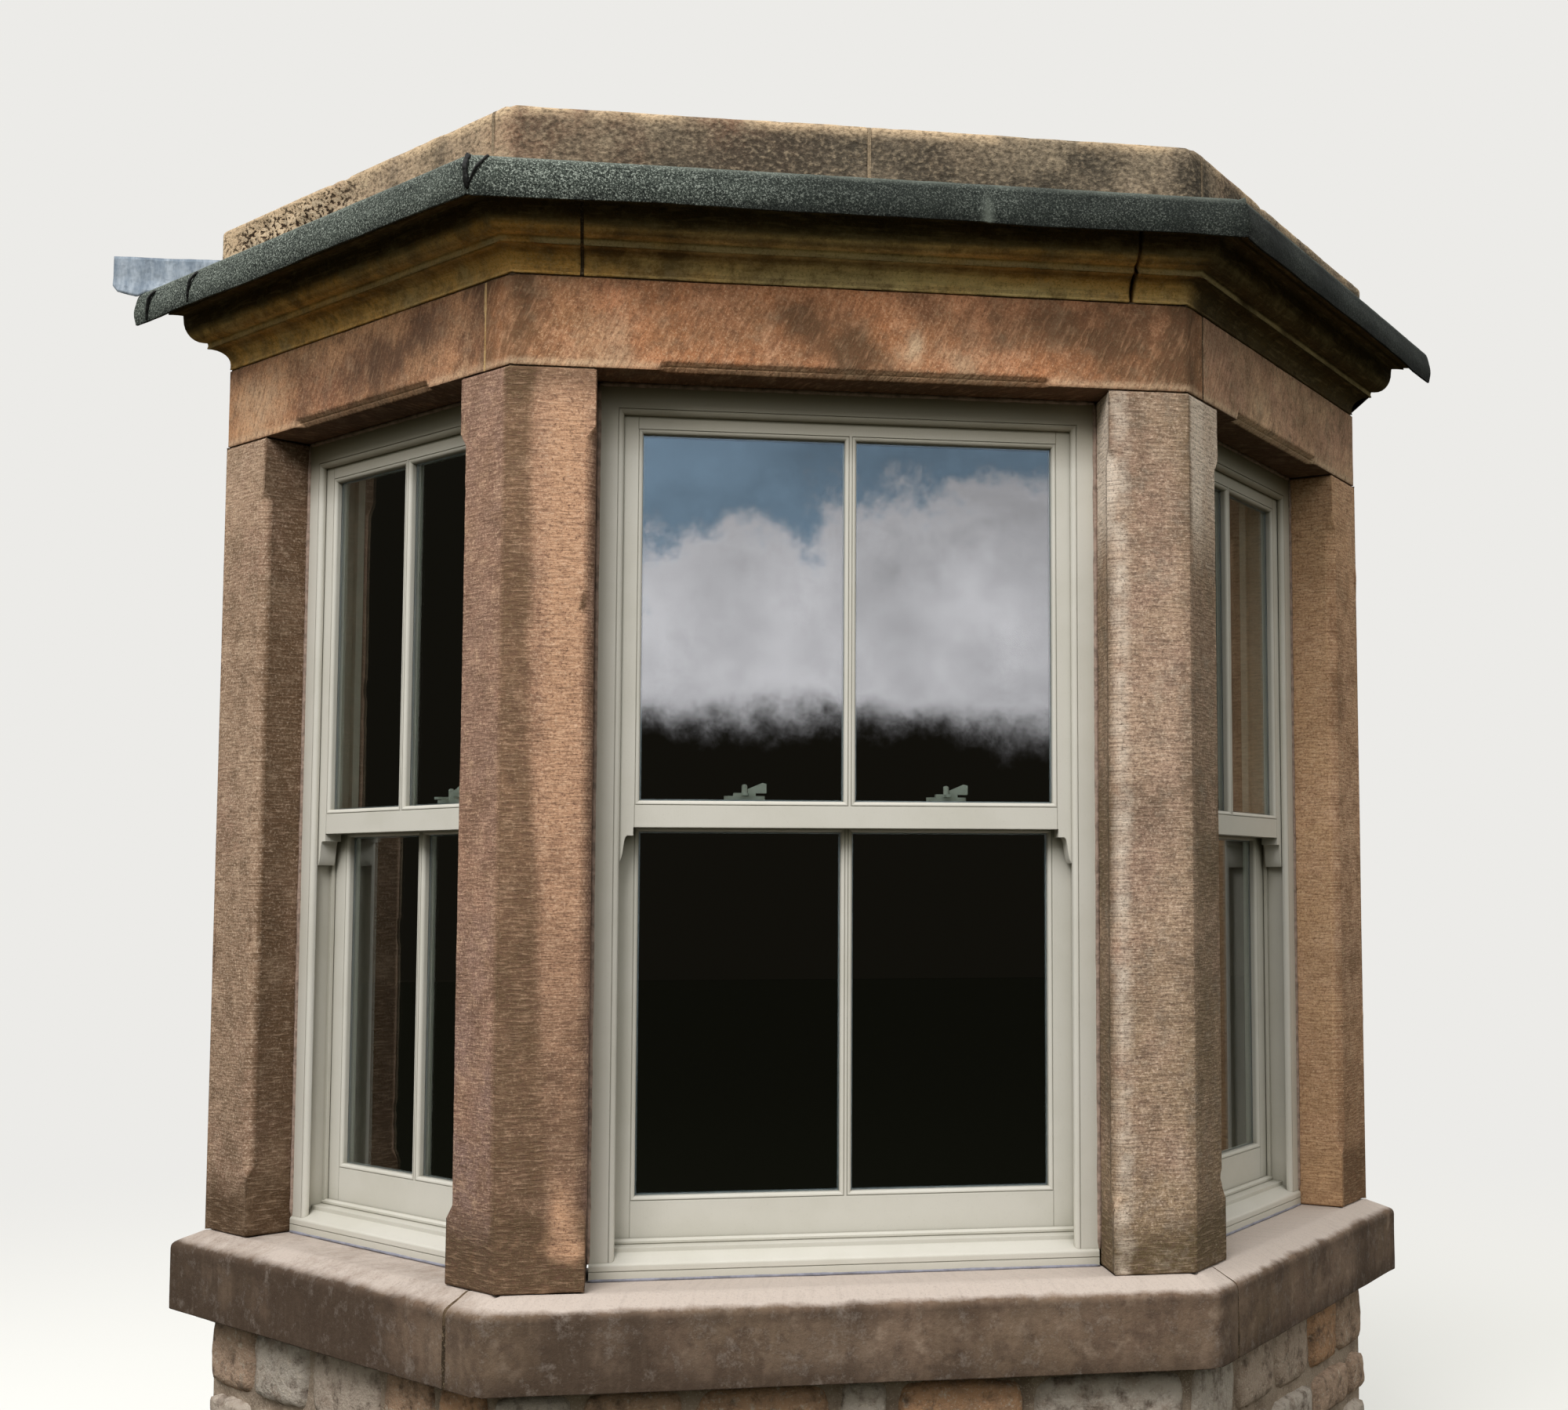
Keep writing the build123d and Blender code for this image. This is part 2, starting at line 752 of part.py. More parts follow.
def horns(side, width, low):
    """Ogee horns that carry the upper sash's stiles below its meeting rail."""
    edge = width / 2 - sash_edge
    foot = low - horn_length
    fillet_z = low - horn_fillet
    curve_start = horn_width - horn_step
    with BuildPart() as pair:
        for hand in (-1, 1):
            outline = (
                (edge, foot),
                (edge, low),
                (edge - horn_width, low),
                (edge - horn_width, fillet_z),
                (edge - curve_start, fillet_z),
            )
            curve = (
                (edge - curve_start, fillet_z),
                (edge - horn_tip - horn_step / 2, fillet_z),
                (edge - curve_start + horn_step / 2, foot + horn_fillet),
                (edge - horn_tip, foot),
            )
            with BuildSketch(opening_plane(side).offset(-upper_sash_face)):
                with BuildLine():
                    Polyline(*((hand * x, z) for x, z in outline))
                    Bezier(*((hand * x, z) for x, z in curve))
                    Line((hand * (edge - horn_tip), foot), (hand * edge, foot))
                make_face()
            extrude(amount=-sash_thickness)
    return pair.part


def rail_closer(side, width, top):
    """Lip of the lower sash's meeting rail that closes the gap to the upper sash."""
    gap = lower_sash_face - upper_sash_face - sash_thickness
    clear = pulley_stile + parting_bead_width + sash_clearance
    with BuildPart() as lip:
        with BuildSketch(opening_plane(side).offset(-lower_sash_face)):
            with Locations((0, top - closer_height / 2)):
                Rectangle(width - 2 * clear, closer_height)
        extrude(amount=gap - closer_clearance)
    return lip.part


def sash_fasteners(side, places, top):
    """Fasteners on the lower sash's meeting rail: a stepped base, a knob, a lever and an arm."""
    face = opening_plane(side)
    lever_end = lever_start + lever_length
    with BuildPart() as fasteners:
        for place in places:
            seat = Plane(
                origin=face.origin
                + face.x_dir * place
                - face.z_dir * fastener_middle
                + Vector(0, 0, top),
                x_dir=face.x_dir,
                z_dir=(0, 0, 1),
            )
            tier_seat = seat.offset(fastener_base)
            tier_top = seat.offset(fastener_base + tier_height)
            with BuildSketch(seat):
                SlotOverall(fastener_length, fastener_width)
            extrude(amount=fastener_base)
            with BuildSketch(tier_seat):
                Rectangle(tier_length, tier_width)
            extrude(amount=tier_height)
            with BuildSketch(tier_seat):
                with Locations((0, -fastener_arm / 2)):
                    Rectangle(fastener_arm_width, fastener_arm)
                with Locations((0, -fastener_arm)):
                    Circle(fastener_arm_width / 2)
            extrude(amount=fastener_arm_thickness)
            with BuildSketch(tier_top):
                Circle(knob_radius)
            extrude(amount=knob_height)
            fillet(fasteners.edges(Select.LAST).group_by(Axis.Z)[-1], radius=knob_round)
            with BuildSketch(Plane(tier_top.origin, x_dir=face.x_dir, z_dir=face.z_dir)):
                with BuildLine():
                    Polyline(
                        (lever_start, 0),
                        (lever_start, lever_low),
                        (lever_end - lever_low, lever_high),
                        (lever_end, lever_high - lever_low / 4),
                        (lever_end, 0),
                        close=True,
                    )
                make_face()
            extrude(amount=lever_thickness / 2, both=True)
    return fasteners.part


def write_piece(piece, name):
    piece.label = name
    export_step(piece, f"parts/{name}.step")


# The three windows: the front one, then one in each canted side.
upper_top = opening_height - pulley_stile - sash_clearance
lower_top = meeting_height + meeting_overlap
windows = (
    (0, "front", front_opening, (-fastener_spacing / 2, fastener_spacing / 2)),
    (-1, "left", cant_opening, (cant_fastener,)),
    (1, "right", cant_opening, (-cant_fastener,)),
)
for side, name, width, places in windows:
    upper_size = (meeting_height, upper_top, meeting_rail, top_rail, upper_sash_face)
    lower_size = (timber_sill_height, lower_top, bottom_rail, lower_meeting_rail, lower_sash_face)
    sill_board = timber_sill(side, width)
    frame_piece = box_frame(side, width, sill_board)
    upper_glass = panes(side, width, *upper_size)
    lower_glass = panes(side, width, *lower_size)
    with BuildPart() as sash_upper:
        add(sash(side, width, *upper_size))
        add(horns(side, width, meeting_height))
        add(upper_glass, mode=Mode.SUBTRACT)
    with BuildPart() as sash_lower:
        add(sash(side, width, *lower_size))
        add(rail_closer(side, width, lower_top))
        add(lower_glass, mode=Mode.SUBTRACT)
    with BuildPart() as glass:
        add(upper_glass)
        add(lower_glass)
    write_piece(sill_board, f"timber_sill_{name}")
    write_piece(frame_piece, f"box_frame_{name}")
    write_piece(sash_upper.part, f"sash_upper_{name}")
    write_piece(sash_lower.part, f"sash_lower_{name}")
    write_piece(glass.part, f"glass_{name}")
    write_piece(sash_fasteners(side, places, lower_top), f"sash_fasteners_{name}")
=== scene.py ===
# Canted sandstone bay window with three painted sash windows.
# Metres; X runs along the back of the bay, +Y points indoors, +Z is up.

import math
import bpy
import numpy as np
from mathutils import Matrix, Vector


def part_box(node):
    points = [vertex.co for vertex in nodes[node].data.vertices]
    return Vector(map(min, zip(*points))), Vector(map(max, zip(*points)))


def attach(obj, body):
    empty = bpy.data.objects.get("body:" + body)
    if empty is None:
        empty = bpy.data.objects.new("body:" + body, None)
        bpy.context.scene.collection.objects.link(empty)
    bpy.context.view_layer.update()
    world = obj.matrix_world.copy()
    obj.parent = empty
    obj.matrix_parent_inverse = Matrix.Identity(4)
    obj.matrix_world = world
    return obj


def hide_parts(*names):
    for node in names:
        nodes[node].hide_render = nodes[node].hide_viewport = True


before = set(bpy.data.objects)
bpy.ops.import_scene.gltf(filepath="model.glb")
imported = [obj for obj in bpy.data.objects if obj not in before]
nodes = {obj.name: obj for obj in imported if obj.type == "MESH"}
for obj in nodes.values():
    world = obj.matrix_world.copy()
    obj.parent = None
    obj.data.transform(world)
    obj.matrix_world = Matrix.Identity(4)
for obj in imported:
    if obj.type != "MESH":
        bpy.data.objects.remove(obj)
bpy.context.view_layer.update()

# Plan and levels of the bay, read from the frame where a node shows them.
bay = {
    "wallY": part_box("apron_wall")[1].y,
    "frontY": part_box("apron_wall")[0].y,
    "halfWall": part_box("apron_wall")[1].x,
    "halfFront": 0.654,
    "jambWidth": 0.170,
    "mullionSide": 0.154,
    "halfOpening": 0.4905,
    "stoneDepth": 0.250,
    "apronDepth": 0.300,
    "sillBed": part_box("sill_front")[0].z,
    "sillTop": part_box("sill_front")[1].z,
    "lintelBed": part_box("lintel_front")[0].z,
    "corniceBed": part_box("lintel_front")[1].z,
    "blockingBed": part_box("cornice_centre")[1].z,
    "blockingTop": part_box("blocking_front_left")[1].z,
}
projection = bay["wallY"] - bay["frontY"]
cantAngle = math.atan2(projection, bay["halfWall"] - bay["halfFront"])
cantLength = math.hypot(projection, bay["halfWall"] - bay["halfFront"])
cantOpening = cantLength - bay["jambWidth"] - bay["mullionSide"]
sinCant, cosCant = math.sin(cantAngle), math.cos(cantAngle)


# Colour and nodes

def hexColour(text):
    # Linear value of each sRGB part c: c / 12.92 up to 0.04045, above it ((c + 0.055) / 1.055) ^ 2.4.
    parts = [int(text[i:i + 2], 16) / 255 for i in (1, 3, 5)]
    return (*[c / 12.92 if c <= 0.04045 else ((c + 0.055) / 1.055) ** 2.4 for c in parts], 1.0)


def addNode(tree, kind, inputs=None, out=0, **settings):
    # Adds a shader node with its settings and links; gives back the output asked for.
    node = tree.nodes.new("ShaderNode" + kind)
    for key, value in settings.items():
        setattr(node, key, value)
    for key, value in (inputs or {}).items():
        if isinstance(value, bpy.types.NodeSocket):
            tree.links.new(value, node.inputs[key])
        else:
            node.inputs[key].default_value = hexColour(value) if isinstance(value, str) else value
    return None if out is None else node.outputs[out]


def newMaterial(name):
    material = bpy.data.materials.new(name)
    material.use_nodes = True
    material.node_tree.nodes.clear()
    return material, material.node_tree


def closeSurface(tree, inputs):
    addNode(tree, "OutputMaterial", {"Surface": addNode(tree, "BsdfPrincipled", inputs)}, None)


def blotches(tree, place, size, low, high, amount=1.0, detail=4.0):
    # Mask of patches about size metres across: noise, stretched so that low is 0 and high is amount.
    noise = addNode(tree, "TexNoise",
                    {"Vector": place, "Scale": 1 / size, "Detail": detail, "Roughness": 0.65})
    return addNode(tree, "MapRange", {0: noise, 1: low, 2: high, 4: amount}, interpolation_type="SMOOTHSTEP")


def layColours(tree, base, *layers):
    # Each layer's colour covers what lies under it, by its mask.
    for mask, colour in layers:
        base = addNode(tree, "Mix", {0: mask, 6: base, 7: colour}, 2, data_type="RGBA")
    return base


def relief(tree, *layers):
    # Bump whose height in metres is the sum of each pattern times its depth.
    height = 0.0
    for pattern, depth in layers:
        height = addNode(tree, "Math", {0: pattern, 1: depth, 2: height}, operation="MULTIPLY_ADD")
    return addNode(tree, "Bump", {"Height": height, "Strength": 1.0, "Distance": 1.0})


# Numbers shared by the shapes

def latticeNoise(points, size, seed):
    # Smooth noise from -1 to 1: random values on a cubic lattice of the given size, blended
    # across each cell by 3 t^2 - 2 t^3 along every axis.
    cell = points / size
    base = np.floor(cell).astype(np.int64)
    part = cell - base
    part = part * part * (3 - 2 * part)
    total = np.zeros(points.shape[:-1])
    for corner in range(8):
        step = np.array([corner & 1, corner >> 1 & 1, corner >> 2 & 1])
        key = (base + step) @ np.array([73856093, 19349663, 83492791]) + seed * 7919
        key = (key ^ (key >> 13)) * 1274126177 & 0x7FFFFFFF
        key = (key ^ (key >> 16)) * 668265263 & 0x7FFFFFFF
        total += np.prod(np.where(step, part, 1 - part), axis=-1) * (key / 0x3FFFFFFF - 1)
    return total


def layeredNoise(points, size, layers, seed):
    # Sum of lattice noises, each of half the size and half the height of the one before.
    return sum(latticeNoise(points, size / 2 ** k, seed + 17 * k) / 2 ** k for k in range(layers)) / 1.6


def noiseAlong(distance, size, seed):
    return layeredNoise(np.stack([distance, 0 * distance, 0 * distance], -1), size, 3, seed)


def smoothStep(value, low, high):
    # 0 below low, 1 above high, 3 t^2 - 2 t^3 between.
    t = np.clip((value - low) / (high - low), 0, 1)
    return t * t * (3 - 2 * t)


def bell(value, middle, width):
    return np.exp(-((value - middle) / width) ** 2)


# Plan lines. Each takes reach, the distance outside the faces, and gives plan points.

def cornerLine(side, reach):
    # Mitre of the corner: x grows by reach times the tangent of half the turn.
    x = side * (bay["halfFront"] + reach * math.tan(cantAngle / 2))
    return np.stack([x, bay["frontY"] - reach], axis=-1)


def wallLine(side, reach):
    # Where a canted face moved out by reach meets the plane of the back.
    x = side * (bay["halfWall"] + reach / sinCant)
    return np.stack([x, np.full_like(reach, bay["wallY"])], axis=-1)


def cantLine(side, distance, reach):
    # Point on a canted side, distance from the plane of the back, moved out square by reach.
    x = side * (bay["halfWall"] - distance * cosCant + reach * sinCant)
    return np.stack([x, bay["wallY"] - distance * sinCant - reach * cosCant], axis=-1)


def frontLine(x, reach):
    return np.stack([np.full_like(reach, x), bay["frontY"] - reach], axis=-1)


def jointLine(side, fromCorner, reach):
    # Joint on a canted side, from the face straight to the inner corner of the course.
    outer = cantLine(side, cantLength - fromCorner, np.zeros(1))[0]
    inner = cornerLine(side, np.array([-bay["stoneDepth"]]))[0]
    share = (-reach / bay["stoneDepth"])[..., None]
    return outer * (1 - share) + inner * share


def at(line, *values):
    return lambda reach: line(*values, reach)


leftWall, rightWall = at(wallLine, -1), at(wallLine, 1)
leftCorner, rightCorner = at(cornerLine, -1), at(cornerLine, 1)


def roundBay(along, reach):
    # Point at a distance round the bay's faces: a share of the way between the lines of two corners.
    starts = np.array([0, cantLength, cantLength + 2 * bay["halfFront"],
                       2 * cantLength + 2 * bay["halfFront"]])
    along, reach = np.broadcast_arrays(along, reach)
    segment = np.clip(np.searchsorted(starts, along, side="right") - 1, 0, 2)
    share = ((along - starts[segment]) / (starts[segment + 1] - starts[segment]))[..., None]
    lines = np.stack([line(reach) for line in (leftWall, leftCorner, rightCorner, rightWall)])
    first = np.take_along_axis(lines, segment[None, ..., None], 0)[0]
    second = np.take_along_axis(lines, segment[None, ..., None] + 1, 0)[0]
    return first * (1 - share) + second * share


# Sections and meshes

def unit(vectors):
    return vectors / np.maximum(np.linalg.norm(vectors, axis=-1, keepdims=True), 1e-9)


def softLoop(corners, spacing):
    # Closed outline: each corner (a, b, radius) becomes a curve from one leg to the other, drawn as
    # (1-t)^2 start + 2 t (1-t) corner + t^2 end, and the runs between are cut to the spacing.
    places = np.array([corner[:2] for corner in corners], float)
    outline = []
    for i, (*_, radius) in enumerate(corners):
        here, before, after = places[i], places[i - 1], places[(i + 1) % len(corners)]
        start, toAfter = here + unit(before - here) * radius, unit(after - here)
        t = np.linspace(0, 1, 5 if radius > 0 else 1)[:, None]
        outline.extend((1 - t) ** 2 * start + 2 * t * (1 - t) * here + t ** 2 * (here + toAfter * radius))
        nextStart = after - toAfter * corners[(i + 1) % len(corners)][2]
        cuts = int(np.linalg.norm(nextStart - outline[-1]) // spacing)
        share = (np.arange(1, cuts + 1) / (cuts + 1))[:, None]
        outline.extend(outline[-1] * (1 - share) + nextStart * share)
    return np.array(outline)


def outwardNormals(outline):
    # Unit normals of closed outlines, square to the line between each point's two neighbours.
    run = np.roll(outline, -1, -2) - np.roll(outline, 1, -2)
    following = np.roll(outline, -1, -2)
    area = np.sum(outline[..., 0] * following[..., 1] - outline[..., 1] * following[..., 0], -1)
    normal = np.stack([run[..., 1], -run[..., 0]], -1) * np.sign(area)[..., None, None]
    return unit(normal)


def arrisShare(outline):
    # 1 at the corners of an outline, 0 on its flats, from the turn at each point.
    back, forward = unit(outline - np.roll(outline, 1, 0)), unit(np.roll(outline, -1, 0) - outline)
    share = np.clip((1 - np.sum(back * forward, axis=1)) * 5, 0, 1)
    return np.maximum(share, 0.5 * np.maximum(np.roll(share, 1), np.roll(share, -1)))


def makeMesh(name, points, faces, material, slotName, replaced=()):
    mesh = bpy.data.meshes.new(name)
    mesh.from_pydata(np.asarray(points).tolist(), [], [list(map(int, face)) for face in faces])
    mesh.materials.append(material)
    mesh.polygons.foreach_set("use_smooth", np.ones(len(mesh.polygons), bool))
    mesh.update()
    piece = bpy.data.objects.new(name, mesh)
    bpy.context.scene.collection.objects.link(piece)
    if slotName:
        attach(piece, "root")
    if replaced:
        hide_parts(*replaced)
    return piece


def giveAttribute(piece, name, values):
    layer = piece.data.attributes.new(name, "FLOAT", "POINT")
    layer.data.foreach_set("value", np.clip(np.ascontiguousarray(values, dtype=np.float32), 0, 1).ravel())


def facingOut(points, quads):
    # Whether the quads enclose a positive volume: the sum of a x b . c + a x c . d over them.
    a, b, c, d = (points[quads[:, k]] - points.mean(0) for k in range(4))
    return np.sum(np.cross(a, b) * c) + np.sum(np.cross(a, c) * d) > 0


def tubePiece(name, grid, material, slotName, replaced=(), along=None, across=None):
    # Closed piece from a grid of rings: quads between the rings and a face over each end. along and
    # across, in metres, become its surface map.
    rows, columns = grid.shape[:2]
    points = grid.reshape(-1, 3)
    row, column = np.meshgrid(np.arange(rows - 1), np.arange(columns), indexing="ij")
    after = (column + 1) % columns
    quads = np.stack([row * columns + column, row * columns + after,
                      (row + 1) * columns + after, (row + 1) * columns + column], -1).reshape(-1, 4)
    faces = quads.tolist() + [list(range(columns))[::-1], list(range((rows - 1) * columns, rows * columns))]
    if not facingOut(points, quads):
        faces = [face[::-1] for face in faces]
    piece = makeMesh(name, points, faces, material, slotName, replaced)
    if along is not None:
        loops = np.zeros(len(piece.data.loops), np.int32)
        piece.data.loops.foreach_get("vertex_index", loops)
        pairs = [np.broadcast_to(values, (rows, columns)).ravel()[loops] for values in (along, across)]
        layer = piece.data.uv_layers.new(name="surface")
        layer.data.foreach_set("uv", np.stack(pairs, 1).astype(np.float32).ravel())
    return piece


def runLength(outline):
    # Distance along an outline to each of its points.
    return np.concatenate([[0], np.cumsum(np.linalg.norm(np.diff(outline, axis=0), axis=1))])


def endSink(wear, distance):
    # Depth that the worn arris takes near an end: wear - sqrt(wear^2 - (wear - distance)^2).
    gap = np.clip(wear - distance, 0, wear)
    return wear - np.sqrt(np.maximum(wear ** 2 - gap ** 2, 0))


def wornDepth(grid, outline, settings, sizes, seed):
    # How deep a surface is worn: slow waves, fine pits and chips along the arrises.
    rough = settings["wave"] * (0.5 + 0.5 * layeredNoise(grid, sizes["waveSize"], 3, seed))
    rough = rough + settings["pit"] * (0.5 + 0.5 * layeredNoise(grid, sizes["pitSize"], 2, seed + 5))
    if settings.get("chips"):
        bite = layeredNoise(grid * (1, 1, sizes["squeeze"]), sizes["chipSize"], sizes["chipLayers"], seed + 9)
        bite = smoothStep(bite, sizes["chipFrom"], sizes["chipFull"])
        rough = rough + settings["chips"] * bite * arrisShare(outline)[None, :]
    return rough


def stations(lengths, spacing, wear, marks):
    # Segment and share of it for each ring along a stone, and how deep its ends are worn there.
    total, starts = sum(lengths), np.concatenate([[0], np.cumsum(lengths)])
    near = np.array([0.0, 0.25, 0.6, 1.0]) * wear
    places = [near, total - near, starts, np.asarray(marks, float)]
    for k, length in enumerate(lengths):
        places.append(starts[k] + np.linspace(0, length, max(2, int(length / spacing) + 2)))
    along = np.unique(np.concatenate(places).round(6).clip(0, total))
    segment = np.clip(np.searchsorted(starts, along, side="right") - 1, 0, len(lengths) - 1)
    share = (along - starts[segment]) / np.array(lengths)[segment]
    return along, segment, share.clip(0, 1), endSink(wear, np.minimum(along, total - along))


courseWear = {"waveSize": 0.22, "pitSize": 0.030, "chipSize": 0.035, "chipLayers": 2, "chipFrom": 0.38,
              "chipFull": 0.80, "squeeze": 1.0}


def courseStone(name, edges, section, material, slotName, settings, seed, bend=None, marks=(),
                replaced=(), sink=None):
    # Stone of a course. Each edge is a plan line; a ring's point is edgeA(reach) (1 - t) +
    # edgeB(reach) t at the section's height, after bend has moved reach and height. The surface is
    # then sunk along the section's normal by the worn arrises, slow waves, pits and chips.
    outline = softLoop(section, settings["spacing"])
    normal = outwardNormals(outline)
    ends = [edge(np.zeros(1))[0] for edge in edges]
    lengths = [np.linalg.norm(ends[k + 1] - ends[k]) for k in range(len(ends) - 1)]
    along, segment, share, sunk = stations(lengths, settings["spacing"], settings["endWear"], marks)
    for turn in np.cumsum(lengths)[:-1]:
        near = 1 - smoothStep(np.abs(along - turn), 0, settings["spacing"])
        sunk = sunk + settings.get("cornerWear", 0) * near
    sunk = sunk[:, None] + settings.get("inset", 0)
    reach = outline[None, :, 0] - sunk * normal[None, :, 0]
    height = outline[None, :, 1] - sunk * normal[None, :, 1]
    if bend:
        reach, height = bend(along[:, None], reach, height)
    lines = np.stack([edge(reach) for edge in edges])
    ring = np.arange(len(along))
    plan = lines[segment, ring] * (1 - share[:, None, None]) + lines[segment + 1, ring] * share[:, None, None]
    grid = np.concatenate([plan, height[..., None]], -1)

    tangent = np.array([(ends[k + 1] - ends[k]) / lengths[k] for k in range(len(lengths))])[segment]
    outward = np.stack([tangent[:, 1], -tangent[:, 0]], 1)[:, None, :] * normal[None, :, :1]
    direction = np.concatenate([outward, np.broadcast_to(normal[None, :, 1:], (*outward.shape[:2], 1))], -1)
    rough = wornDepth(grid, outline, settings, courseWear, seed)
    if sink:
        rough = rough + sink(grid)
    grid = grid - direction * rough[..., None]
    grid[..., 1] = np.minimum(grid[..., 1], bay["wallY"])
    piece = tubePiece(name, grid, material, slotName, replaced, along[:, None], runLength(outline)[None, :])
    return piece, along, outline, grid


# Stone finishes

def sandstone(name, colours, strokes):
    # Sandstone cut with a chisel and left to weather: a dull brown bed with rust and purple drifts,
    # sooty crust where rain does not reach and a pale skin where it does; on some stones the crust's
    # mask also carries painted shade and the skin's mask painted light. Its grains of half a
    # millimetre are drawn as specks of 5 mm, so that they show. strokes are the chisel's marks,
    # painted darker in their hollows as shade and paler on their ridges as highlight.
    material, tree = newMaterial(name)
    place = addNode(tree, "TexCoord", out="Object")
    surface = addNode(tree, "UVMap", uv_map="surface")
    turned = addNode(tree, "Mapping", {"Vector": surface, "Rotation": (0, 0, strokes["turn"]),
                                       "Scale": (strokes["length"], strokes["pitch"], 1)},
                     vector_type="TEXTURE")
    cuts = addNode(tree, "TexNoise", {"Vector": turned, "Scale": 1.0, "Detail": 3.0, "Roughness": 0.6})
    ragged = addNode(tree, "TexNoise", {"Vector": place, "Scale": 1 / strokes["patch"], "Detail": 8.0,
                                        "Roughness": 0.78})
    edges = {"drift": (0.8, 0.40, 1.20, 1.0), "sootAndShade": (1.3, 0.60, 1.55, 0.9),
             "washed": (1.1, 0.58, 1.30, 0.92)}
    masks = {}
    # The same noise breaks up the edge of each mask.
    for key, (share, low, high, most) in edges.items():
        given = addNode(tree, "Attribute", out="Fac", attribute_name=key)
        mixed = addNode(tree, "Math", {0: ragged, 1: share, 2: given}, operation="MULTIPLY_ADD")
        masks[key] = addNode(tree, "MapRange", {0: mixed, 1: low, 2: high, 4: most})
    grains = addNode(tree, "TexNoise",
                     {"Vector": place, "Scale": 1 / 0.0050, "Detail": 3.0, "Roughness": 0.85})
    # Painted shade in the hollows of the chisel marks and in the honeycomb's holes, and a painted highlight
    # on the marks' ridges.
    ranges = ((cuts, 0.52, 0.30, strokes["shade"]), (cuts, 0.52, 0.74, 0.7 * strokes["shade"]),
              (grains, 0.53, 0.68, strokes["specks"]), (grains, 0.48, 0.33, strokes["specks"]),
              (cuts, 0.465, 0.41, 1.0), (cuts, 0.50, 0.56, 0.7))
    hollows, ridges, light, dim, deep, rim = (
        addNode(tree, "MapRange", {0: noise, 1: low, 2: high, 4: most}) for noise, low, high, most in ranges)
    clean = addNode(tree, "MapRange", {0: masks["sootAndShade"], 3: 1.0, 4: 0.1})
    holes = addNode(tree, "Attribute", out="Fac", attribute_name="holes")
    light, deep, rim = (addNode(tree, "Math", {0: mask, 1: share}, operation="MULTIPLY")
                        for mask, share in ((light, clean), (deep, holes), (rim, holes)))
    colour = layColours(
        tree, colours["main"], (masks["drift"], colours["drift"]),
        (blotches(tree, place, 0.26, 0.42, 0.66, 0.75), colours["second"]),
        (blotches(tree, place, 0.10, 0.48, 0.70, 0.60), colours["dark"]),
        (blotches(tree, place, 0.032, 0.50, 0.70, 0.55), colours["dark"]),
        (blotches(tree, place, 0.047, 0.53, 0.70, 0.55), colours["pale"]),
        (masks["sootAndShade"], colours["sootAndShade"]), (masks["washed"], colours["washed"]),
        (light, colours["grain"]), (dim, colours["dark"]), (hollows, colours["dark"]),
        (ridges, colours["pale"]))
    colour = layColours(tree, colour, (rim, colours["grain"]), (deep, colours["hole"]))
    coarse = addNode(tree, "TexNoise",
                     {"Vector": place, "Scale": 1 / 0.014, "Detail": 4.0, "Roughness": 0.65})
    normal = relief(tree, (coarse, 0.0016), (grains, 0.0008), (cuts, strokes["depth"]), (deep, -0.006))
    closeSurface(tree, {"Base Color": colour, "Roughness": 0.93, "Specular IOR Level": 0.2, "Normal": normal})
    return material


strokeParts = ("length", "pitch", "turn", "shade", "depth", "patch", "specks")
strokeKinds = {  # metres; the length lies along the course, or round a standing stone
    "level": (0.034, 0.0050, 0.0, 0.55, 0.0024, 0.05, 0.92),
    "slanted": (0.0085, 0.045, math.radians(-24), 0.48, 0.0030, 0.07, 0.78),
    "upright": (0.012, 0.10, 0.0, 0.10, 0.0006, 0.04, 0.20),
    "slight": (0.07, 0.010, 0.0, 0.35, 0.0012, 0.05, 0.60),
    "pitted": (0.011, 0.009, 0.0, 0.70, 0.0040, 0.014, 0.35),
}
colourParts = ("main", "drift", "second", "dark", "pale", "grain", "sootAndShade", "washed")
stoneColours = {  # kind of strokes, then the colours of the parts
    "leftMullion": ("level", "#B48C70 #8D726A #A07B65 #6C5143 #CBA78B #D2B297 #4C3D28 #C79B7A"),
    "rightMullion": ("level", "#BC9E88 #A58C70 #AC8C7A #6A564A #CDB39C #DCC4AE #4F4328 #E6D6C4"),
    "leftJamb": ("level", "#AD917A #7C614B #9A7B68 #624D3B #C8AC92 #D6BFA8 #3C2B18 #C6A88C"),
    "rightJamb": ("level", "#D4AE90 #C08C62 #C69C78 #7E5C44 #D6B491 #DEC2A2 #523D28 #D0A880"),
    # A lintel's soot colour also paints the shade on its underside.
    "lintel": ("slanted", "#D4946E #9C7350 #BC7C52 #75523D #DBA883 #DBB592 #54412F #CDB090"),
    "leftLintel": ("slanted", "#DAA67A #8A5A44 #B8845E #5C4434 #C6A07D #D2AF8E #503C30 #C7A788"),
    "rightLintel": ("slanted", "#E6BE9A #C89A7C #D2A288 #6E5842 #C7AD8E #D6BD9F #4A3226 #CDB394"),
    "sill": ("upright", "#8A7565 #77634F #755F50 #4F4037 #A08C7A #AA9988 #46392F #C3B6AC"),
    # The cornice's near-black soot colour also paints the shade under the felt.
    "cornice": ("slight", "#ECD494 #E6B060 #C6AE7C #735B34 #D2B683 #D4BC8C #0E0904 #C6B284"),
    "blocking": ("pitted", "#A8957E #8E6C56 #867965 #2E2821 #B29F84 #BCAA90 #413C34 #C8AE8D"),
}
finishes = {key: sandstone(key + "Sandstone", dict(zip(colourParts, colours.split()), hole="#35281E"),
                           dict(zip(strokeParts, strokeKinds[kind])))
            for key, (kind, colours) in stoneColours.items()}


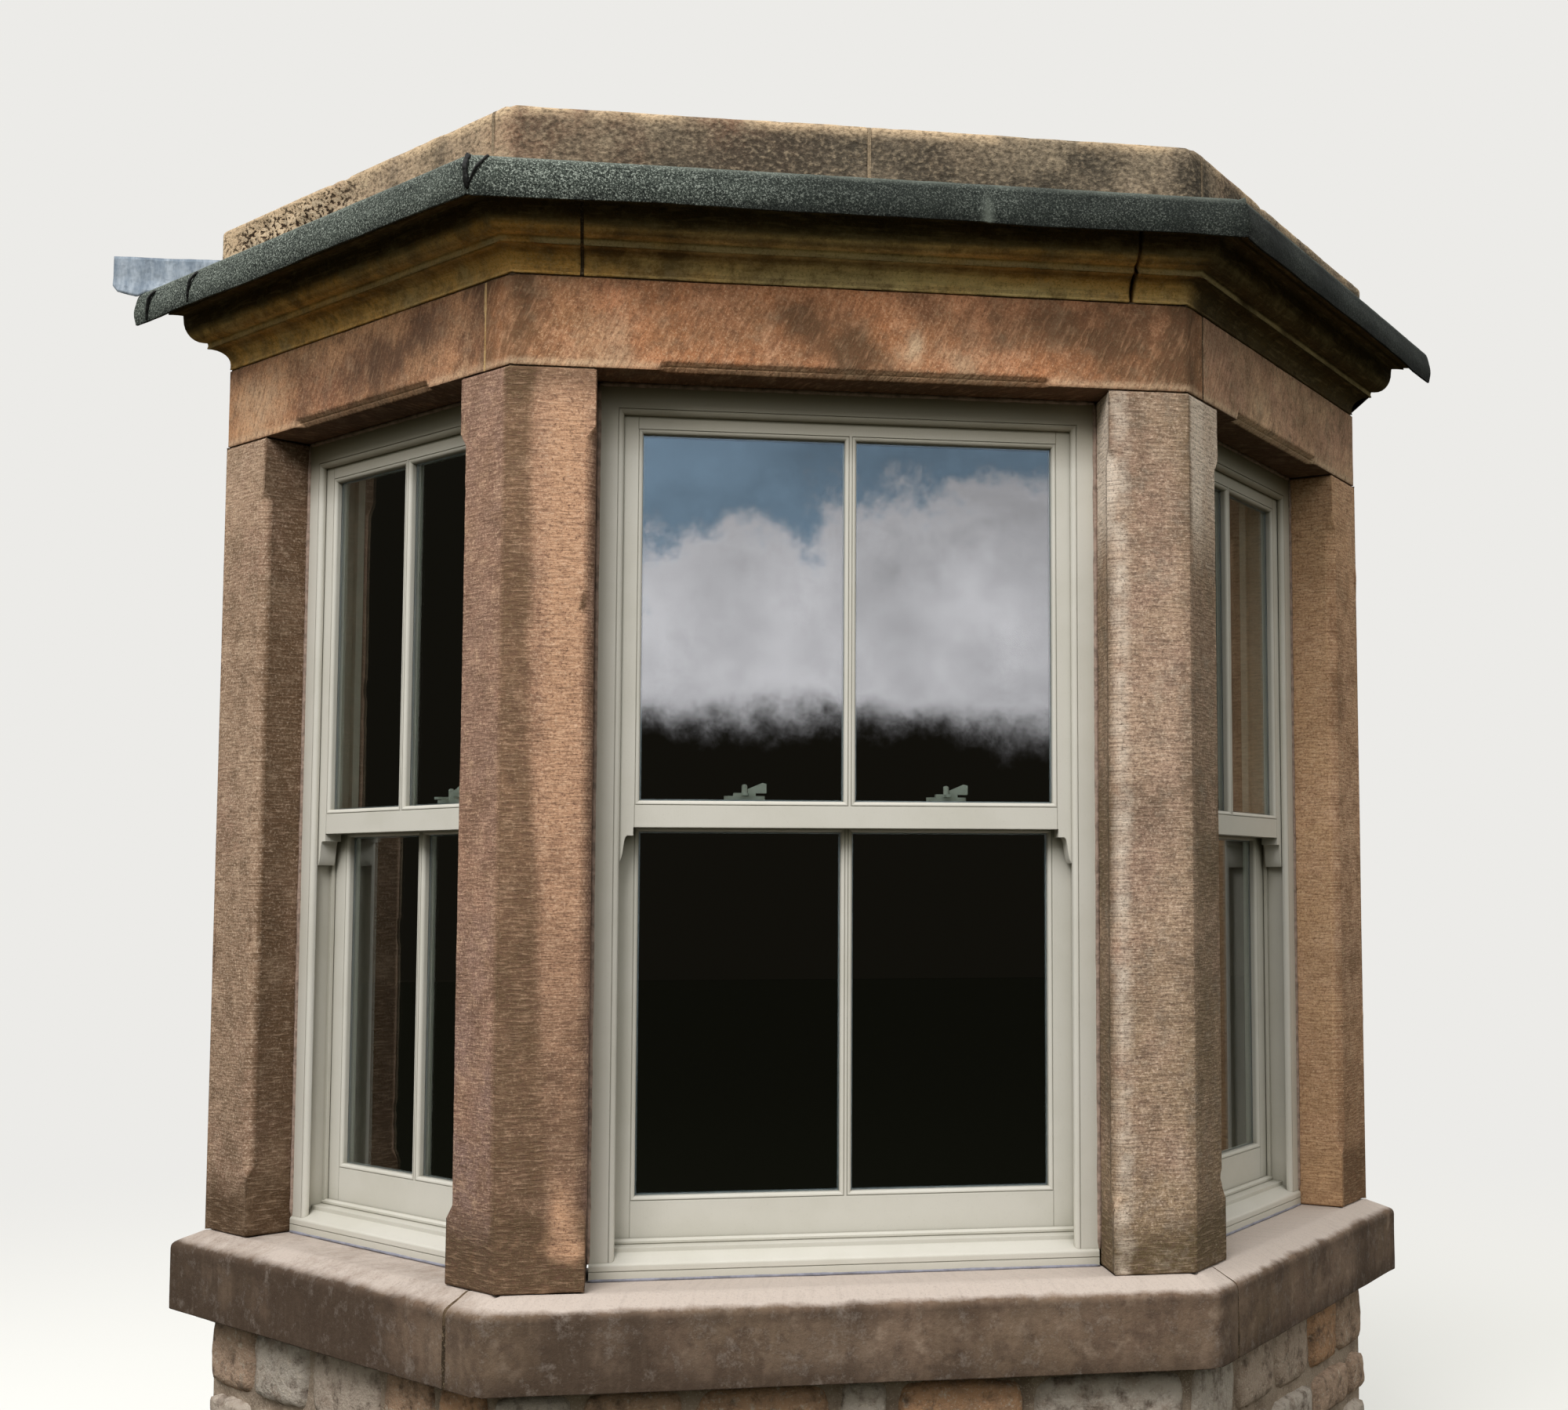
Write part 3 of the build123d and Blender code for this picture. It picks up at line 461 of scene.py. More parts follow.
def mineralFelt():
    # Torch-on bitumen felt: crushed green slate of 2 mm rolled into black bitumen. The specks are
    # drawn at 3.6 mm. A painted highlight pales the top and the lap's crease, and painted shade darkens
    # the hem and the sheet towards the right.
    material, tree = newMaterial("slateChippedFelt")
    place = addNode(tree, "TexCoord", out="Object")
    chips = addNode(tree, "TexNoise", {"Vector": place, "Scale": 1 / 0.0036, "Detail": 2.0, "Roughness": 0.9})
    bright = addNode(tree, "MapRange", {0: chips, 1: 0.54, 2: 0.64, 4: 0.9})
    black = addNode(tree, "MapRange", {0: chips, 1: 0.48, 2: 0.38, 4: 0.95})
    # The masks hold the painted highlight on the top and the crease, the painted shade along the hem and the
    # painted shade towards the right.
    worn, hem, dim = (addNode(tree, "Attribute", out="Fac", attribute_name=key)
                      for key in ("washed", "sootAndShade", "drift"))
    colour = layColours(
        tree, "#4A514A", (blotches(tree, place, 0.16, 0.38, 0.66, 0.8), "#363C37"),
        (blotches(tree, place, 0.035, 0.52, 0.74, 0.5), "#555C55"), (bright, "#AEB5AA"), (black, "#0C0E0F"),
        (dim, "#171B19"), (hem, "#0E0F0E"), (worn, "#7F867C"))
    lumps = addNode(tree, "TexNoise", {"Vector": place, "Scale": 1 / 0.03, "Detail": 4.0, "Roughness": 0.6})
    closeSurface(tree, {"Base Color": colour, "Roughness": 0.85, "Specular IOR Level": 0.3,
                        "Normal": relief(tree, (chips, 0.0012), (lumps, 0.004))})
    return material


def bareBitumen():
    # Bitumen that ran from a torched lap: black, soft, half shiny.
    material, tree = newMaterial("torchedBitumen")
    place = addNode(tree, "TexCoord", out="Object")
    colour = layColours(tree, "#0B0B0B", (blotches(tree, place, 0.01, 0.45, 0.7, 0.7), "#1B1B1A"))
    runs = addNode(tree, "TexNoise", {"Vector": place, "Scale": 1 / 0.008, "Detail": 2.0})
    closeSurface(tree, {"Base Color": colour, "Roughness": 0.45, "Normal": relief(tree, (runs, 0.002))})
    return material


def agedLead():
    # Milled lead sheet under a dull carbonate bloom that rain has smeared down it.
    material, tree = newMaterial("milledLead")
    place = addNode(tree, "TexCoord", out="Object")
    smears = addNode(tree, "Mapping", {"Vector": place, "Scale": (0.02, 0.02, 0.07)}, vector_type="TEXTURE")
    bloom = addNode(tree, "TexNoise", {"Vector": smears, "Scale": 1.0, "Detail": 5.0, "Roughness": 0.65})
    dull = addNode(tree, "MapRange", {0: bloom, 1: 0.38, 2: 0.66})
    colour = layColours(tree, "#76828F", (dull, "#A9B2BC"),
                        (blotches(tree, place, 0.02, 0.58, 0.75, 0.6), "#5D6772"))
    dents = addNode(tree, "TexNoise", {"Vector": place, "Scale": 1 / 0.03, "Detail": 2.0})
    closeSurface(tree, {"Base Color": colour, "Metallic": 0.3, "Roughness": 0.55,
                        "Normal": relief(tree, (dents, 0.004), (bloom, 0.0008))})
    return material


def rubbleStone():
    # Quarried rubble, hammer-dressed: limestone and gritstone, split faces, darker in their hollows.
    # tone is a value for each stone.
    material, tree = newMaterial("splitRubble")
    place = addNode(tree, "TexCoord", out="Object")
    tone = addNode(tree, "Attribute", out="Fac", attribute_name="tone")
    grey = addNode(tree, "MapRange", {0: tone, 1: 0.35, 2: 0.7}, interpolation_type="SMOOTHSTEP")
    rusty = addNode(tree, "MapRange", {0: tone, 1: 0.25, 2: 0.05, 4: 0.8})
    crags = addNode(tree, "TexNoise", {"Vector": place, "Scale": 1 / 0.035, "Detail": 6.0, "Roughness": 0.7})
    hollows = addNode(tree, "MapRange", {0: crags, 1: 0.50, 2: 0.32, 4: 0.85})
    colour = layColours(
        tree, "#AD937E", (grey, "#B8ADA1"), (rusty, "#B98D68"),
        (blotches(tree, place, 0.06, 0.48, 0.70, 0.6), "#836E5D"),
        (blotches(tree, place, 0.02, 0.55, 0.72, 0.7), "#C3B6A5"),
        (blotches(tree, place, 0.005, 0.56, 0.72, 0.5, 2.0), "#CFC3B3"), (hollows, "#5C4D42"))
    grit = addNode(tree, "TexNoise", {"Vector": place, "Scale": 1 / 0.006, "Detail": 3.0})
    closeSurface(tree, {"Base Color": colour, "Roughness": 0.95, "Specular IOR Level": 0.2,
                        "Normal": relief(tree, (crags, 0.010), (grit, 0.0020))})
    return material


def jointMortar(name, base, shade, sand, size):
    # Lime mortar with coarse sand, struck rough; sand grains of 2 mm drawn at 4 mm.
    material, tree = newMaterial(name)
    place = addNode(tree, "TexCoord", out="Object")
    colour = layColours(tree, base, (blotches(tree, place, 0.09, 0.42, 0.66, 0.9), shade),
                        (blotches(tree, place, 0.004, 0.54, 0.70, 0.7, 2.0), sand))
    rough = addNode(tree, "TexNoise", {"Vector": place, "Scale": 1 / size, "Detail": 5.0, "Roughness": 0.7})
    closeSurface(tree, {"Base Color": colour, "Roughness": 0.95, "Specular IOR Level": 0.2,
                        "Normal": relief(tree, (rough, 0.4 * size))})
    return material


def paintedTimber():
    # Sprayed satin acrylic on hardwood, stone grey. The grain just shows through, grey dust and
    # painted shade sit in the corners, and painted shade, tinted green, darkens the heads under the
    # lintels. The bevel softens the arrises by 1.5 mm.
    material, tree = newMaterial("satinPaintedHardwood")
    place = addNode(tree, "TexCoord", out="Object")
    grain = addNode(tree, "Mapping", {"Vector": place, "Scale": (0.0022, 0.0022, 0.035)},
                    vector_type="TEXTURE")
    fibres = addNode(tree, "TexNoise", {"Vector": grain, "Scale": 1.0, "Detail": 2.0})
    # Painted shade, with dust, where the occlusion finds corners close by.
    corners = addNode(tree, "AmbientOcclusion", {"Distance": 0.05}, "AO", samples=4)
    dustAndShade = addNode(tree, "MapRange", {0: corners, 1: 0.85, 2: 0.20, 4: 0.60})
    # Painted shade under the lintels: darker towards the head of each window.
    high = addNode(tree, "SeparateXYZ", {"Vector": place}, "Z")
    headShade = addNode(tree, "MapRange",
                   {0: high, 1: bay["lintelBed"] - 0.14, 2: bay["lintelBed"] - 0.02, 4: 0.75})
    colour = layColours(tree, "#CCC8BE", (blotches(tree, place, 0.22, 0.40, 0.68, 0.6), "#C3BFB3"),
                        (blotches(tree, place, 0.004, 0.60, 0.76, 0.20, 2.0), "#A8A394"), (dustAndShade, "#7A7660"),
                        (headShade, "#685B38"))
    soft = addNode(tree, "Bevel", {"Radius": 0.0015}, samples=4)
    height = addNode(tree, "Math", {0: fibres, 1: 0.00016}, operation="MULTIPLY")
    normal = addNode(tree, "Bump", {"Height": height, "Strength": 1.0, "Distance": 1.0, "Normal": soft})
    closeSurface(tree, {"Base Color": colour, "Roughness": 0.42, "Normal": normal})
    return material


def sealedGlass():
    # Clear float glass, two panes sealed together. Their four faces and the coating inside reflect
    # about as much as the two faces of one pane with an IOR of 2.
    material, tree = newMaterial("sealedFloatGlass")
    closeSurface(tree, {"Base Color": "#D6E0DB", "Roughness": 0.0, "Transmission Weight": 1.0, "IOR": 2.0})
    return material


def sawnSoftwood():
    # Sawn spruce: rings 9 mm apart run with the board, the saw's marks cross them.
    material, tree = newMaterial("sawnSpruce")
    place = addNode(tree, "TexCoord", out="Object")
    long = addNode(tree, "Mapping", {"Vector": place, "Scale": (0.009, 0.2, 0.009)}, vector_type="TEXTURE")
    rings = addNode(tree, "TexNoise", {"Vector": long, "Scale": 1.0, "Detail": 3.0, "Distortion": 0.6})
    late = addNode(tree, "MapRange", {0: rings, 1: 0.45, 2: 0.62})
    colour = layColours(tree, "#B6945F", (late, "#8D6A40"),
                        (blotches(tree, place, 0.15, 0.5, 0.75, 0.5), "#9C845F"))
    saw = addNode(tree, "Mapping", {"Vector": place, "Scale": (0.03, 0.003, 0.03)}, vector_type="TEXTURE")
    marks = addNode(tree, "TexNoise", {"Vector": saw, "Scale": 1.0, "Detail": 1.0})
    closeSurface(tree, {"Base Color": colour, "Roughness": 0.8, "Normal": relief(tree, (marks, 0.0008))})
    return material


def evenFinish(name, base, second, size, depth, roughness, metallic=0.0):
    # A plain skin with slight clouds of the size given: lime plaster, enamel, mastic or aluminium.
    material, tree = newMaterial(name)
    place = addNode(tree, "TexCoord", out="Object")
    colour = layColours(tree, base, (blotches(tree, place, size, 0.38, 0.68), second))
    fine = addNode(tree, "TexNoise", {"Vector": place, "Scale": 4 / size, "Detail": 3.0})
    closeSurface(tree, {"Base Color": colour, "Roughness": roughness, "Metallic": metallic,
                        "Normal": relief(tree, (fine, depth))})
    return material


finishes.update({
    "felt": mineralFelt(), "bitumen": bareBitumen(), "lead": agedLead(), "rubble": rubbleStone(),
    "rubbleMortar": jointMortar("sootyLimeMortar", "#A08F7E", "#7C6C5D", "#C2B5A3", 0.014),
    "creamMortar": jointMortar("creamJointMortar", "#B99A6C", "#9A7A50", "#CDB48C", 0.006),
    "darkMortar": jointMortar("dirtyJointMortar", "#5E4D3B", "#332A20", "#94826A", 0.006),
    "dullMortar": jointMortar("dullJointMortar", "#8A7963", "#5E5243", "#A8977E", 0.006),
    "paint": paintedTimber(), "glass": sealedGlass(), "softwood": sawnSoftwood(),
    "plaster": evenFinish("limePlaster", "#D9D4C9", "#CDC7BA", 0.3, 0.0015, 0.9),
    "enamel": evenFinish("creamEnamelledBrass", "#F0EDE4", "#E6E2D7", 0.02, 0.0002, 0.3),
    "sealant": evenFinish("pinkGreySealant", "#A08A7C", "#75655A", 0.02, 0.002, 0.7),
    "mastic": evenFinish("blueGreyMastic", "#8B8C99", "#73737C", 0.03, 0.001, 0.6),
    "spacer": evenFinish("aluminiumSpacer", "#B9BDBE", "#AEB2B4", 0.05, 0.0001, 0.4, 0.6),
})
print("finishes made")


# Stains and skins, with painted shade and light: what the three masks of a stone hold

def weather(piece, grid, drift=0.0, sootAndShade=0.0, washed=0.0):
    for name, values in (("drift", drift), ("sootAndShade", sootAndShade), ("washed", washed)):
        giveAttribute(piece, name, np.broadcast_to(values, grid.shape[:2]))


def ovals(grid, marks):
    # Sum of soft ovals by x and z: depth exp(-((x - x0) / width)^2 - ((z - z0) / height)^2).
    x, z = grid[..., 0], grid[..., 2]
    return sum(depth * np.exp(-((x - x0) / width) ** 2 - ((z - z0) / height) ** 2)
               for x0, z0, width, height, depth in marks)


# Standing stones: jambs and mullions

standing = {
    "spacing": 0.010, "arris": 0.0045, "wave": 0.0024, "pit": 0.0012, "chips": 0.006, "endWear": 0.005,
    "chamfer": 0.018, "chamferRun": 0.025, "topStop": 0.108, "bottomStop": 0.121,
    "waveSize": 0.25, "pitSize": 0.022, "chipSize": 0.045, "chipLayers": 3, "chipFrom": 0.42,
    "chipFull": 0.85, "squeeze": 0.6,
}


def chamferAt(height):
    # Leg of the stopped chamfer: full between the stops, sloping to nothing over its run at each.
    low, high = bay["sillTop"] + standing["bottomStop"], bay["lintelBed"] - standing["topStop"]
    inside = np.minimum(height - low, high - height)
    return standing["chamfer"] * np.clip(inside / standing["chamferRun"], 0, 1)


def standingOutline(corners, chamfered, leg):
    # Plan outline, one row for each value of leg: every corner is cut back along both its edges by
    # the leg and the worn arris, with a point in the middle of the cut.
    corners = np.array(corners, float)
    wear, parts = standing["arris"], []
    for i in range(len(corners)):
        here, before, after = corners[i], corners[i - 1], corners[(i + 1) % len(corners)]
        toBefore, toAfter = unit(before - here), unit(after - here)
        cut = (leg if chamfered[i] else 0 * leg)[:, None]
        inner = [here + toBefore * (cut + 0.3 * wear), here + toAfter * (cut + 0.3 * wear)]
        parts.append(np.stack([here + toBefore * (cut + wear), inner[0], (inner[0] + inner[1]) / 2, inner[1],
                               here + toAfter * (cut + wear)], 1))
    outline = []
    for i, part in enumerate(parts):
        end = parts[(i + 1) % len(parts)][:, 0]
        steps = max(1, int(np.linalg.norm(corners[(i + 1) % len(parts)] - corners[i]) / standing["spacing"]))
        share = (np.arange(1, steps) / steps)[None, :, None]
        outline += [part, part[:, -1:] * (1 - share) + end[:, None] * share]
    return np.concatenate(outline, 1)


def standingStone(name, node, corners, chamfered, finish, seed, masks):
    # Stone carried up from sill to lintel: its outline at each height, sunk square to it by waves,
    # pits, worn ends and chips of the arrises.
    low, high = bay["sillTop"], bay["lintelBed"]
    stops = [low + standing["bottomStop"], low + standing["bottomStop"] + standing["chamferRun"],
             high - standing["topStop"], high - standing["topStop"] - standing["chamferRun"]]
    edge = np.array([0, 0.1, 0.25, 0.6, 1]) * standing["endWear"]
    heights = np.concatenate([np.arange(low, high, standing["spacing"]), stops, low + edge, high - edge])
    heights = np.unique(heights.round(5))
    outline = standingOutline(corners, chamfered, chamferAt(heights))
    sunk = endSink(standing["endWear"], np.minimum(heights - low, high - heights))
    grid = np.concatenate([outline, np.broadcast_to(heights[:, None, None], (*outline.shape[:2], 1))], -1)
    rough = wornDepth(grid, outline[0], standing, standing, seed) + sunk[:, None]
    grid[..., :2] -= outwardNormals(outline) * rough[..., None]
    grid[..., 1] = np.minimum(grid[..., 1], bay["wallY"])
    around = runLength(outline[0])[None, :]
    piece = tubePiece(name, grid, finishes[finish], "tooled_sandstone", (node,), around, heights[:, None])
    weather(piece, grid, *masks(grid))


def jambCorners(side):
    depth = bay["jambWidth"] * math.tan(cantAngle)
    return [np.array([side * bay["halfWall"], bay["wallY"]]),
            cantLine(side, bay["jambWidth"], np.zeros(1))[0],
            cantLine(side, bay["jambWidth"], np.array([-depth]))[0]]


def mullionCorners(side):
    front, depth, run = bay["frontY"], bay["stoneDepth"], cantLength - bay["mullionSide"]
    return [(side * bay["halfOpening"], front), (side * bay["halfFront"], front),
            cantLine(side, run, np.zeros(1))[0], cantLine(side, run, np.array([-depth]))[0],
            cornerLine(side, np.array([-depth]))[0], (side * bay["halfOpening"], front + depth)]


def footShade(grid, height):
    return 1 - smoothStep(grid[..., 2] - bay["sillTop"], 0, height)


mullionMarks = {
    "stripeEdge": -0.607, "band": (-0.600, -0.560, -0.525, -0.495), "arris": 0.512,  # x
    # x, z, width, height and depth
    "patches": [(-0.530, 0.925, 0.034, 0.020, 0.7), (-0.535, 0.99, 0.026, 0.06, 0.55)],
}


def leftMullionMasks(grid):
    # Dark stripe beside the corner with a ragged edge, wider and browner low down; an orange band by
    # the opening, palest near the head; a dark head and a dark foot with one pale patch.
    upright = grid * (0, 0, 1)
    edge = mullionMarks["stripeEdge"] + 0.010 * layeredNoise(upright, 0.22, 3, 3)
    edge = edge + 0.045 * footShade(grid, 1.3)
    front = 1 - smoothStep(grid[..., 1] - bay["frontY"], 0.004, 0.02)
    stripe = (1 - smoothStep(grid[..., 0], edge - 0.010, edge + 0.014)) * front
    head = smoothStep(grid[..., 2], 2.46, 2.55)
    sootAndShade = stripe * (0.75 + 0.25 * layeredNoise(upright, 0.35, 2, 8)) * (1 - 0.85 * footShade(grid, 0.8))
    sootAndShade = sootAndShade + (1.35 - 0.25 * front) * footShade(grid, 0.17)
    sootAndShade = sootAndShade + (0.60 * head + 0.66 * footShade(grid, 0.9)) * front
    sootAndShade = sootAndShade + 0.32 * (1 - front) * (0.6 + 0.6 * layeredNoise(grid, 0.4, 2, 12))
    start, full, fading, end = mullionMarks["band"]
    band = smoothStep(grid[..., 0], start, full) * (1 - smoothStep(grid[..., 0], fading, end)) * front
    washed = 0.62 * band * smoothStep(grid[..., 2], 1.05, 2.30) * (1 - head)
    patch = ovals(grid, mullionMarks["patches"]) * front
    patch = patch * (1 + 0.9 * layeredNoise(grid, 0.03, 3, 17))
    washed = washed + patch
    sootAndShade = sootAndShade * np.clip(1 - 0.8 * patch, 0, 1)
    drift = 0.55 * (1 - front) + 0.4 * footShade(grid, 1.0) + 0.25 * layeredNoise(grid, 0.3, 2, 15)
    return drift, sootAndShade, washed


def rightMullionMasks(grid):
    # Even brown face, pale specks down the arris of the front opening, dark foot, dull green low down;
    # the cant face is painted in shade below its top, and its top is pale with lichen and painted light.
    front = 1 - smoothStep(grid[..., 1] - bay["frontY"], 0.004, 0.02)
    arris = 1 - smoothStep(np.abs(grid[..., 0] - mullionMarks["arris"]), 0.004, 0.030)
    washed = 0.36 * arris * (1 + 1.2 * layeredNoise(grid, 0.03, 3, 31)) * front
    sootAndShade = 1.2 * footShade(grid, 0.15) + 0.35 * smoothStep(layeredNoise(grid, 0.25, 3, 21), 0.0, 0.7)
    top = smoothStep(grid[..., 2], 2.15, 2.45)
    sootAndShade = sootAndShade + 0.25 * front * top
    # Painted shade on the cant face below its top.
    sootAndShade = sootAndShade + 0.50 * (1 - front) * (1 - top) + 0.30 * smoothStep(grid[..., 0], 0.625, 0.65) * front
    # Lichen and painted light at the top of the cant face.
    washed = washed + 1.1 * (1 - front) * top * (1 - 0.55 * smoothStep(grid[..., 0], 0.68, 0.71))
    return 0.35 + 0.5 * footShade(grid, 0.7) + 0.3 * layeredNoise(grid, 0.3, 2, 25), sootAndShade, washed


def jambMasks(grid):
    # The cant face is pale at the head. On the left the reveal is painted in shade, dark and brown
    # all the way down; on the right it is the warmer side, painted paler where the light falls on it.
    # Below the head the faces beside the reveal are painted darker on the right and lighter on the left.
    side = np.sign(grid[..., 0])
    fromWall = (side * grid[..., 0] - bay["halfWall"]) * -cosCant + (bay["wallY"] - grid[..., 1]) * sinCant
    reveal = smoothStep(fromWall, bay["jambWidth"] - 0.012, bay["jambWidth"] - 0.001)
    shaded = reveal * (side < 0)
    sootAndShade = 1.25 * footShade(grid, 0.16) + 0.35 * footShade(grid, 0.9) + 0.44 * shaded
    # Painted shade on the right jamb's faces below the head, painted light on the left's.
    sootAndShade = sootAndShade + 0.22 * (1 - reveal) * side * (1 - smoothStep(grid[..., 2], 2.15, 2.45))
    sootAndShade = sootAndShade + 0.25 * smoothStep(layeredNoise(grid, 0.2, 3, 35), 0.1, 0.8)
    washed = 0.25 * (1 - reveal) * smoothStep(grid[..., 2], 2.1, 2.5) + 0.25 * layeredNoise(grid, 0.1, 2, 39)
    # Painted light on the right reveal, which faces the light.
    washed = washed + 0.45 * reveal * (side > 0)
    return 0.7 * shaded + 0.25 + 0.3 * layeredNoise(grid, 0.35, 2, 37), sootAndShade, washed


standingStones = {
    "jamb_left": (jambCorners(-1), (False, True, False), "leftJamb", 41, jambMasks),
    "jamb_right": (jambCorners(1), (False, True, False), "rightJamb", 43, jambMasks),
    "mullion_left": (mullionCorners(-1), (True, False, True, False, False, False), "leftMullion", 47,
                     leftMullionMasks),
    "mullion_right": (mullionCorners(1), (True, False, True, False, False, False), "rightMullion", 53,
                      rightMullionMasks),
}
for node, stone in standingStones.items():
    standingStone("worn_" + node, node, *stone)
print("jambs and mullions made")


# Courses

def courseEdges(joint):
    # Edges of the left, front and right stones of a course with a joint beside each corner.
    leftJoint, rightJoint = at(jointLine, -1, joint), at(jointLine, 1, joint)
    return {"left": [leftWall, leftJoint], "front": [leftJoint, leftCorner, rightCorner, rightJoint],
            "right": [rightJoint, rightWall]}


def jointFill(name, section, lineAt, settings, finish, slotName, seed, half=0.0045):
    # Mortar of a joint: the course's own section, a little inside its faces, for a few millimetres
    # each side of the joint. lineAt gives the plan line at a distance from the joint.
    inner = dict(settings, endWear=0.0005, cornerWear=0, wave=0.0015, pit=0.0012, chips=0,
                 inset=settings["fill"])
    courseStone(name, [lineAt(-half), lineAt(half)], section, finishes[finish], slotName, inner, seed)


bedMortar = {"half": 0.003, "back": 0.005, "depth": 0.080, "side": 0.006, "spacing": 0.020, "endWear": 0.001,
             "wave": 0.001, "pit": 0.001}


def bedFill(name, edges, level, seed):
    # Mortar of a bed between two stones: a thin strip along the plan, set back behind their faces.
    low, high = level - bedMortar["half"], level + bedMortar["half"]
    back, depth = -bedMortar["back"], -bedMortar["depth"]
    section = [(depth, low, 0), (back, low, 0), (back, high, 0), (depth, high, 0)]
    courseStone(name, edges, section, finishes["darkMortar"], "dressed_sandstone", bedMortar, seed)


sill = {"spacing": 0.012, "endWear": 0.006, "cornerWear": 0.004, "wave": 0.003, "pit": 0.0012, "chips": 0.003,
        "fill": 0.0012, "reach": 0.056, "weathering": 0.026, "nose": 0.013, "foot": 0.005, "joint": 0.080,
        "stains": [(-0.5, 0.74, 0.2, 0.1, 0.6)]}
sillSection = [(-bay["stoneDepth"], bay["sillBed"], 0), (sill["reach"], bay["sillBed"], sill["foot"]),
               (sill["reach"], bay["sillTop"] - sill["weathering"], sill["nose"]), (0, bay["sillTop"], 0),
               (-bay["stoneDepth"], bay["sillTop"], 0)]


def sillMasks(grid):
    # Top rinsed pale, its edge ragged over the nose; the face dark, darkest along its foot.
    height = grid[..., 2]
    spill = 0.0035 * layeredNoise(grid * (1, 1, 0.2), 0.03, 3, 67)
    top = smoothStep(height + spill, bay["sillTop"] - 0.029, bay["sillTop"] - 0.015)
    streaks = smoothStep(layeredNoise(grid * (1, 1, 0.12), 0.05, 2, 65), -0.2, 0.5)
    under = 1 - smoothStep(height, bay["sillBed"], bay["sillBed"] + 0.06)
    blooms = smoothStep(layeredNoise(grid, 0.25, 3, 61), -0.1, 0.6)
    arris = bell(height, bay["sillTop"] - 0.040, 0.012)
    sootAndShade = (1 - top) * (0.12 + 0.5 * under + 0.40 * blooms + 0.30 * streaks + 0.35 * arris)
    shaded = 0.5 * smoothStep(-grid[..., 0], 0.68, 1.0) + ovals(grid, sill["stains"])
    sootAndShade = sootAndShade + (1 - top) * shaded
    left = 0.35 * smoothStep(-grid[..., 0], 0.55, 0.75)
    washed = top * (1 - left + 0.25 * layeredNoise(grid, 0.1, 3, 69))
    return 0.4 + 0.5 * layeredNoise(grid, 0.2, 2, 63), sootAndShade, washed


for k, (place, edges) in enumerate(courseEdges(sill["joint"]).items()):
    piece, *_, grid = courseStone(
        "worn_sill_" + place, edges, sillSection, finishes["sill"], "dressed_sandstone", sill, 71 + 7 * k,
        replaced=("sill_" + place,))
    weather(piece, grid, *sillMasks(grid))
for side, name in ((-1, "left"), (1, "right")):
    jointFill("sill_joint_" + name, sillSection, lambda off: at(jointLine, side, sill["joint"] + side * off),
              sill, "darkMortar", "dressed_sandstone", 95)
print("sill course made")

lintel = {"spacing": 0.010, "endWear": 0.005, "cornerWear": 0.002, "wave": 0.0025, "pit": 0.0012,
          "chips": 0.004, "fill": 0.0010, "joint": 0.080, "stop": 0.110, "run": 0.010, "leg": 0.020,
          "arris": 0.003}
lintelSection = [(-bay["stoneDepth"], bay["lintelBed"], 0)]
lintelSection += [(-reach, bay["lintelBed"], 0) for reach in (0.026, 0.020, 0.016, 0.012, 0.008)]
lintelSection += [(0, bay["lintelBed"], lintel["arris"])]
lintelSection += [(0, bay["lintelBed"] + rise, 0) for rise in (0.008, 0.012, 0.016, 0.020, 0.026)]
lintelSection += [(0, bay["corniceBed"], lintel["arris"]), (-bay["stoneDepth"], bay["corniceBed"], 0)]


def lintelChamfer(half, middle):
    # Between the stops, whatever lies outside the plane reach = height - bed - leg is moved square
    # on to it: half of the excess off the reach and half on to the height.
    def bend(along, reach, height):
        share = np.clip((half - np.abs(along - middle)) / lintel["run"], 0, 1)
        near = (reach > -0.03) & (height < bay["lintelBed"] + 0.03)
        excess = np.where(near, np.maximum(reach - (height - bay["lintelBed"]) + lintel["leg"] * share, 0), 0)
        excess = excess * np.clip(share * 8, 0, 1)
        return reach - excess / 2, height + excess / 2
    return bend


lintelMarks = {  # x, z, width, height and depth of each soft oval
    "smudges": [
        (-0.636, 2.64, 0.034, 0.30, 1.0), (-0.10, 2.665, 0.06, 0.05, 0.75), (-0.03, 2.61, 0.07, 0.06, 0.65),
        (0.02, 2.59, 0.05, 0.03, 0.5), (0.36, 2.67, 0.12, 0.05, 0.6), (-0.24, 2.64, 0.16, 0.08, 0.3),
        (0.54, 2.62, 0.13, 0.16, 0.75), (0.22, 2.64, 0.10, 0.06, 0.35), (0.640, 2.64, 0.035, 0.3, 0.7),
        (-0.70, 2.64, 0.035, 0.30, 0.60), (-0.82, 2.67, 0.08, 0.06, 0.75), (-0.95, 2.63, 0.08, 0.07, 1.10),
        (-1.12, 2.66, 0.05, 0.10, 0.35), (0.80, 2.66, 0.15, 0.10, 0.22), (1.15, 2.64, 0.15, 0.14, 0.22)],
    "scabs": [
        (0.112, 2.615, 0.014, 0.035, 0.75), (0.085, 2.60, 0.016, 0.018, 0.6), (-0.49, 2.60, 0.05, 0.05, 0.25),
        (0.20, 2.59, 0.05, 0.03, 0.35), (-1.22, 2.63, 0.06, 0.07, 0.60)],
    "holes": [(-0.392, 2.666), (0.222, 2.672), (0.075, 2.59)], "holeDepth": 0.007,
}


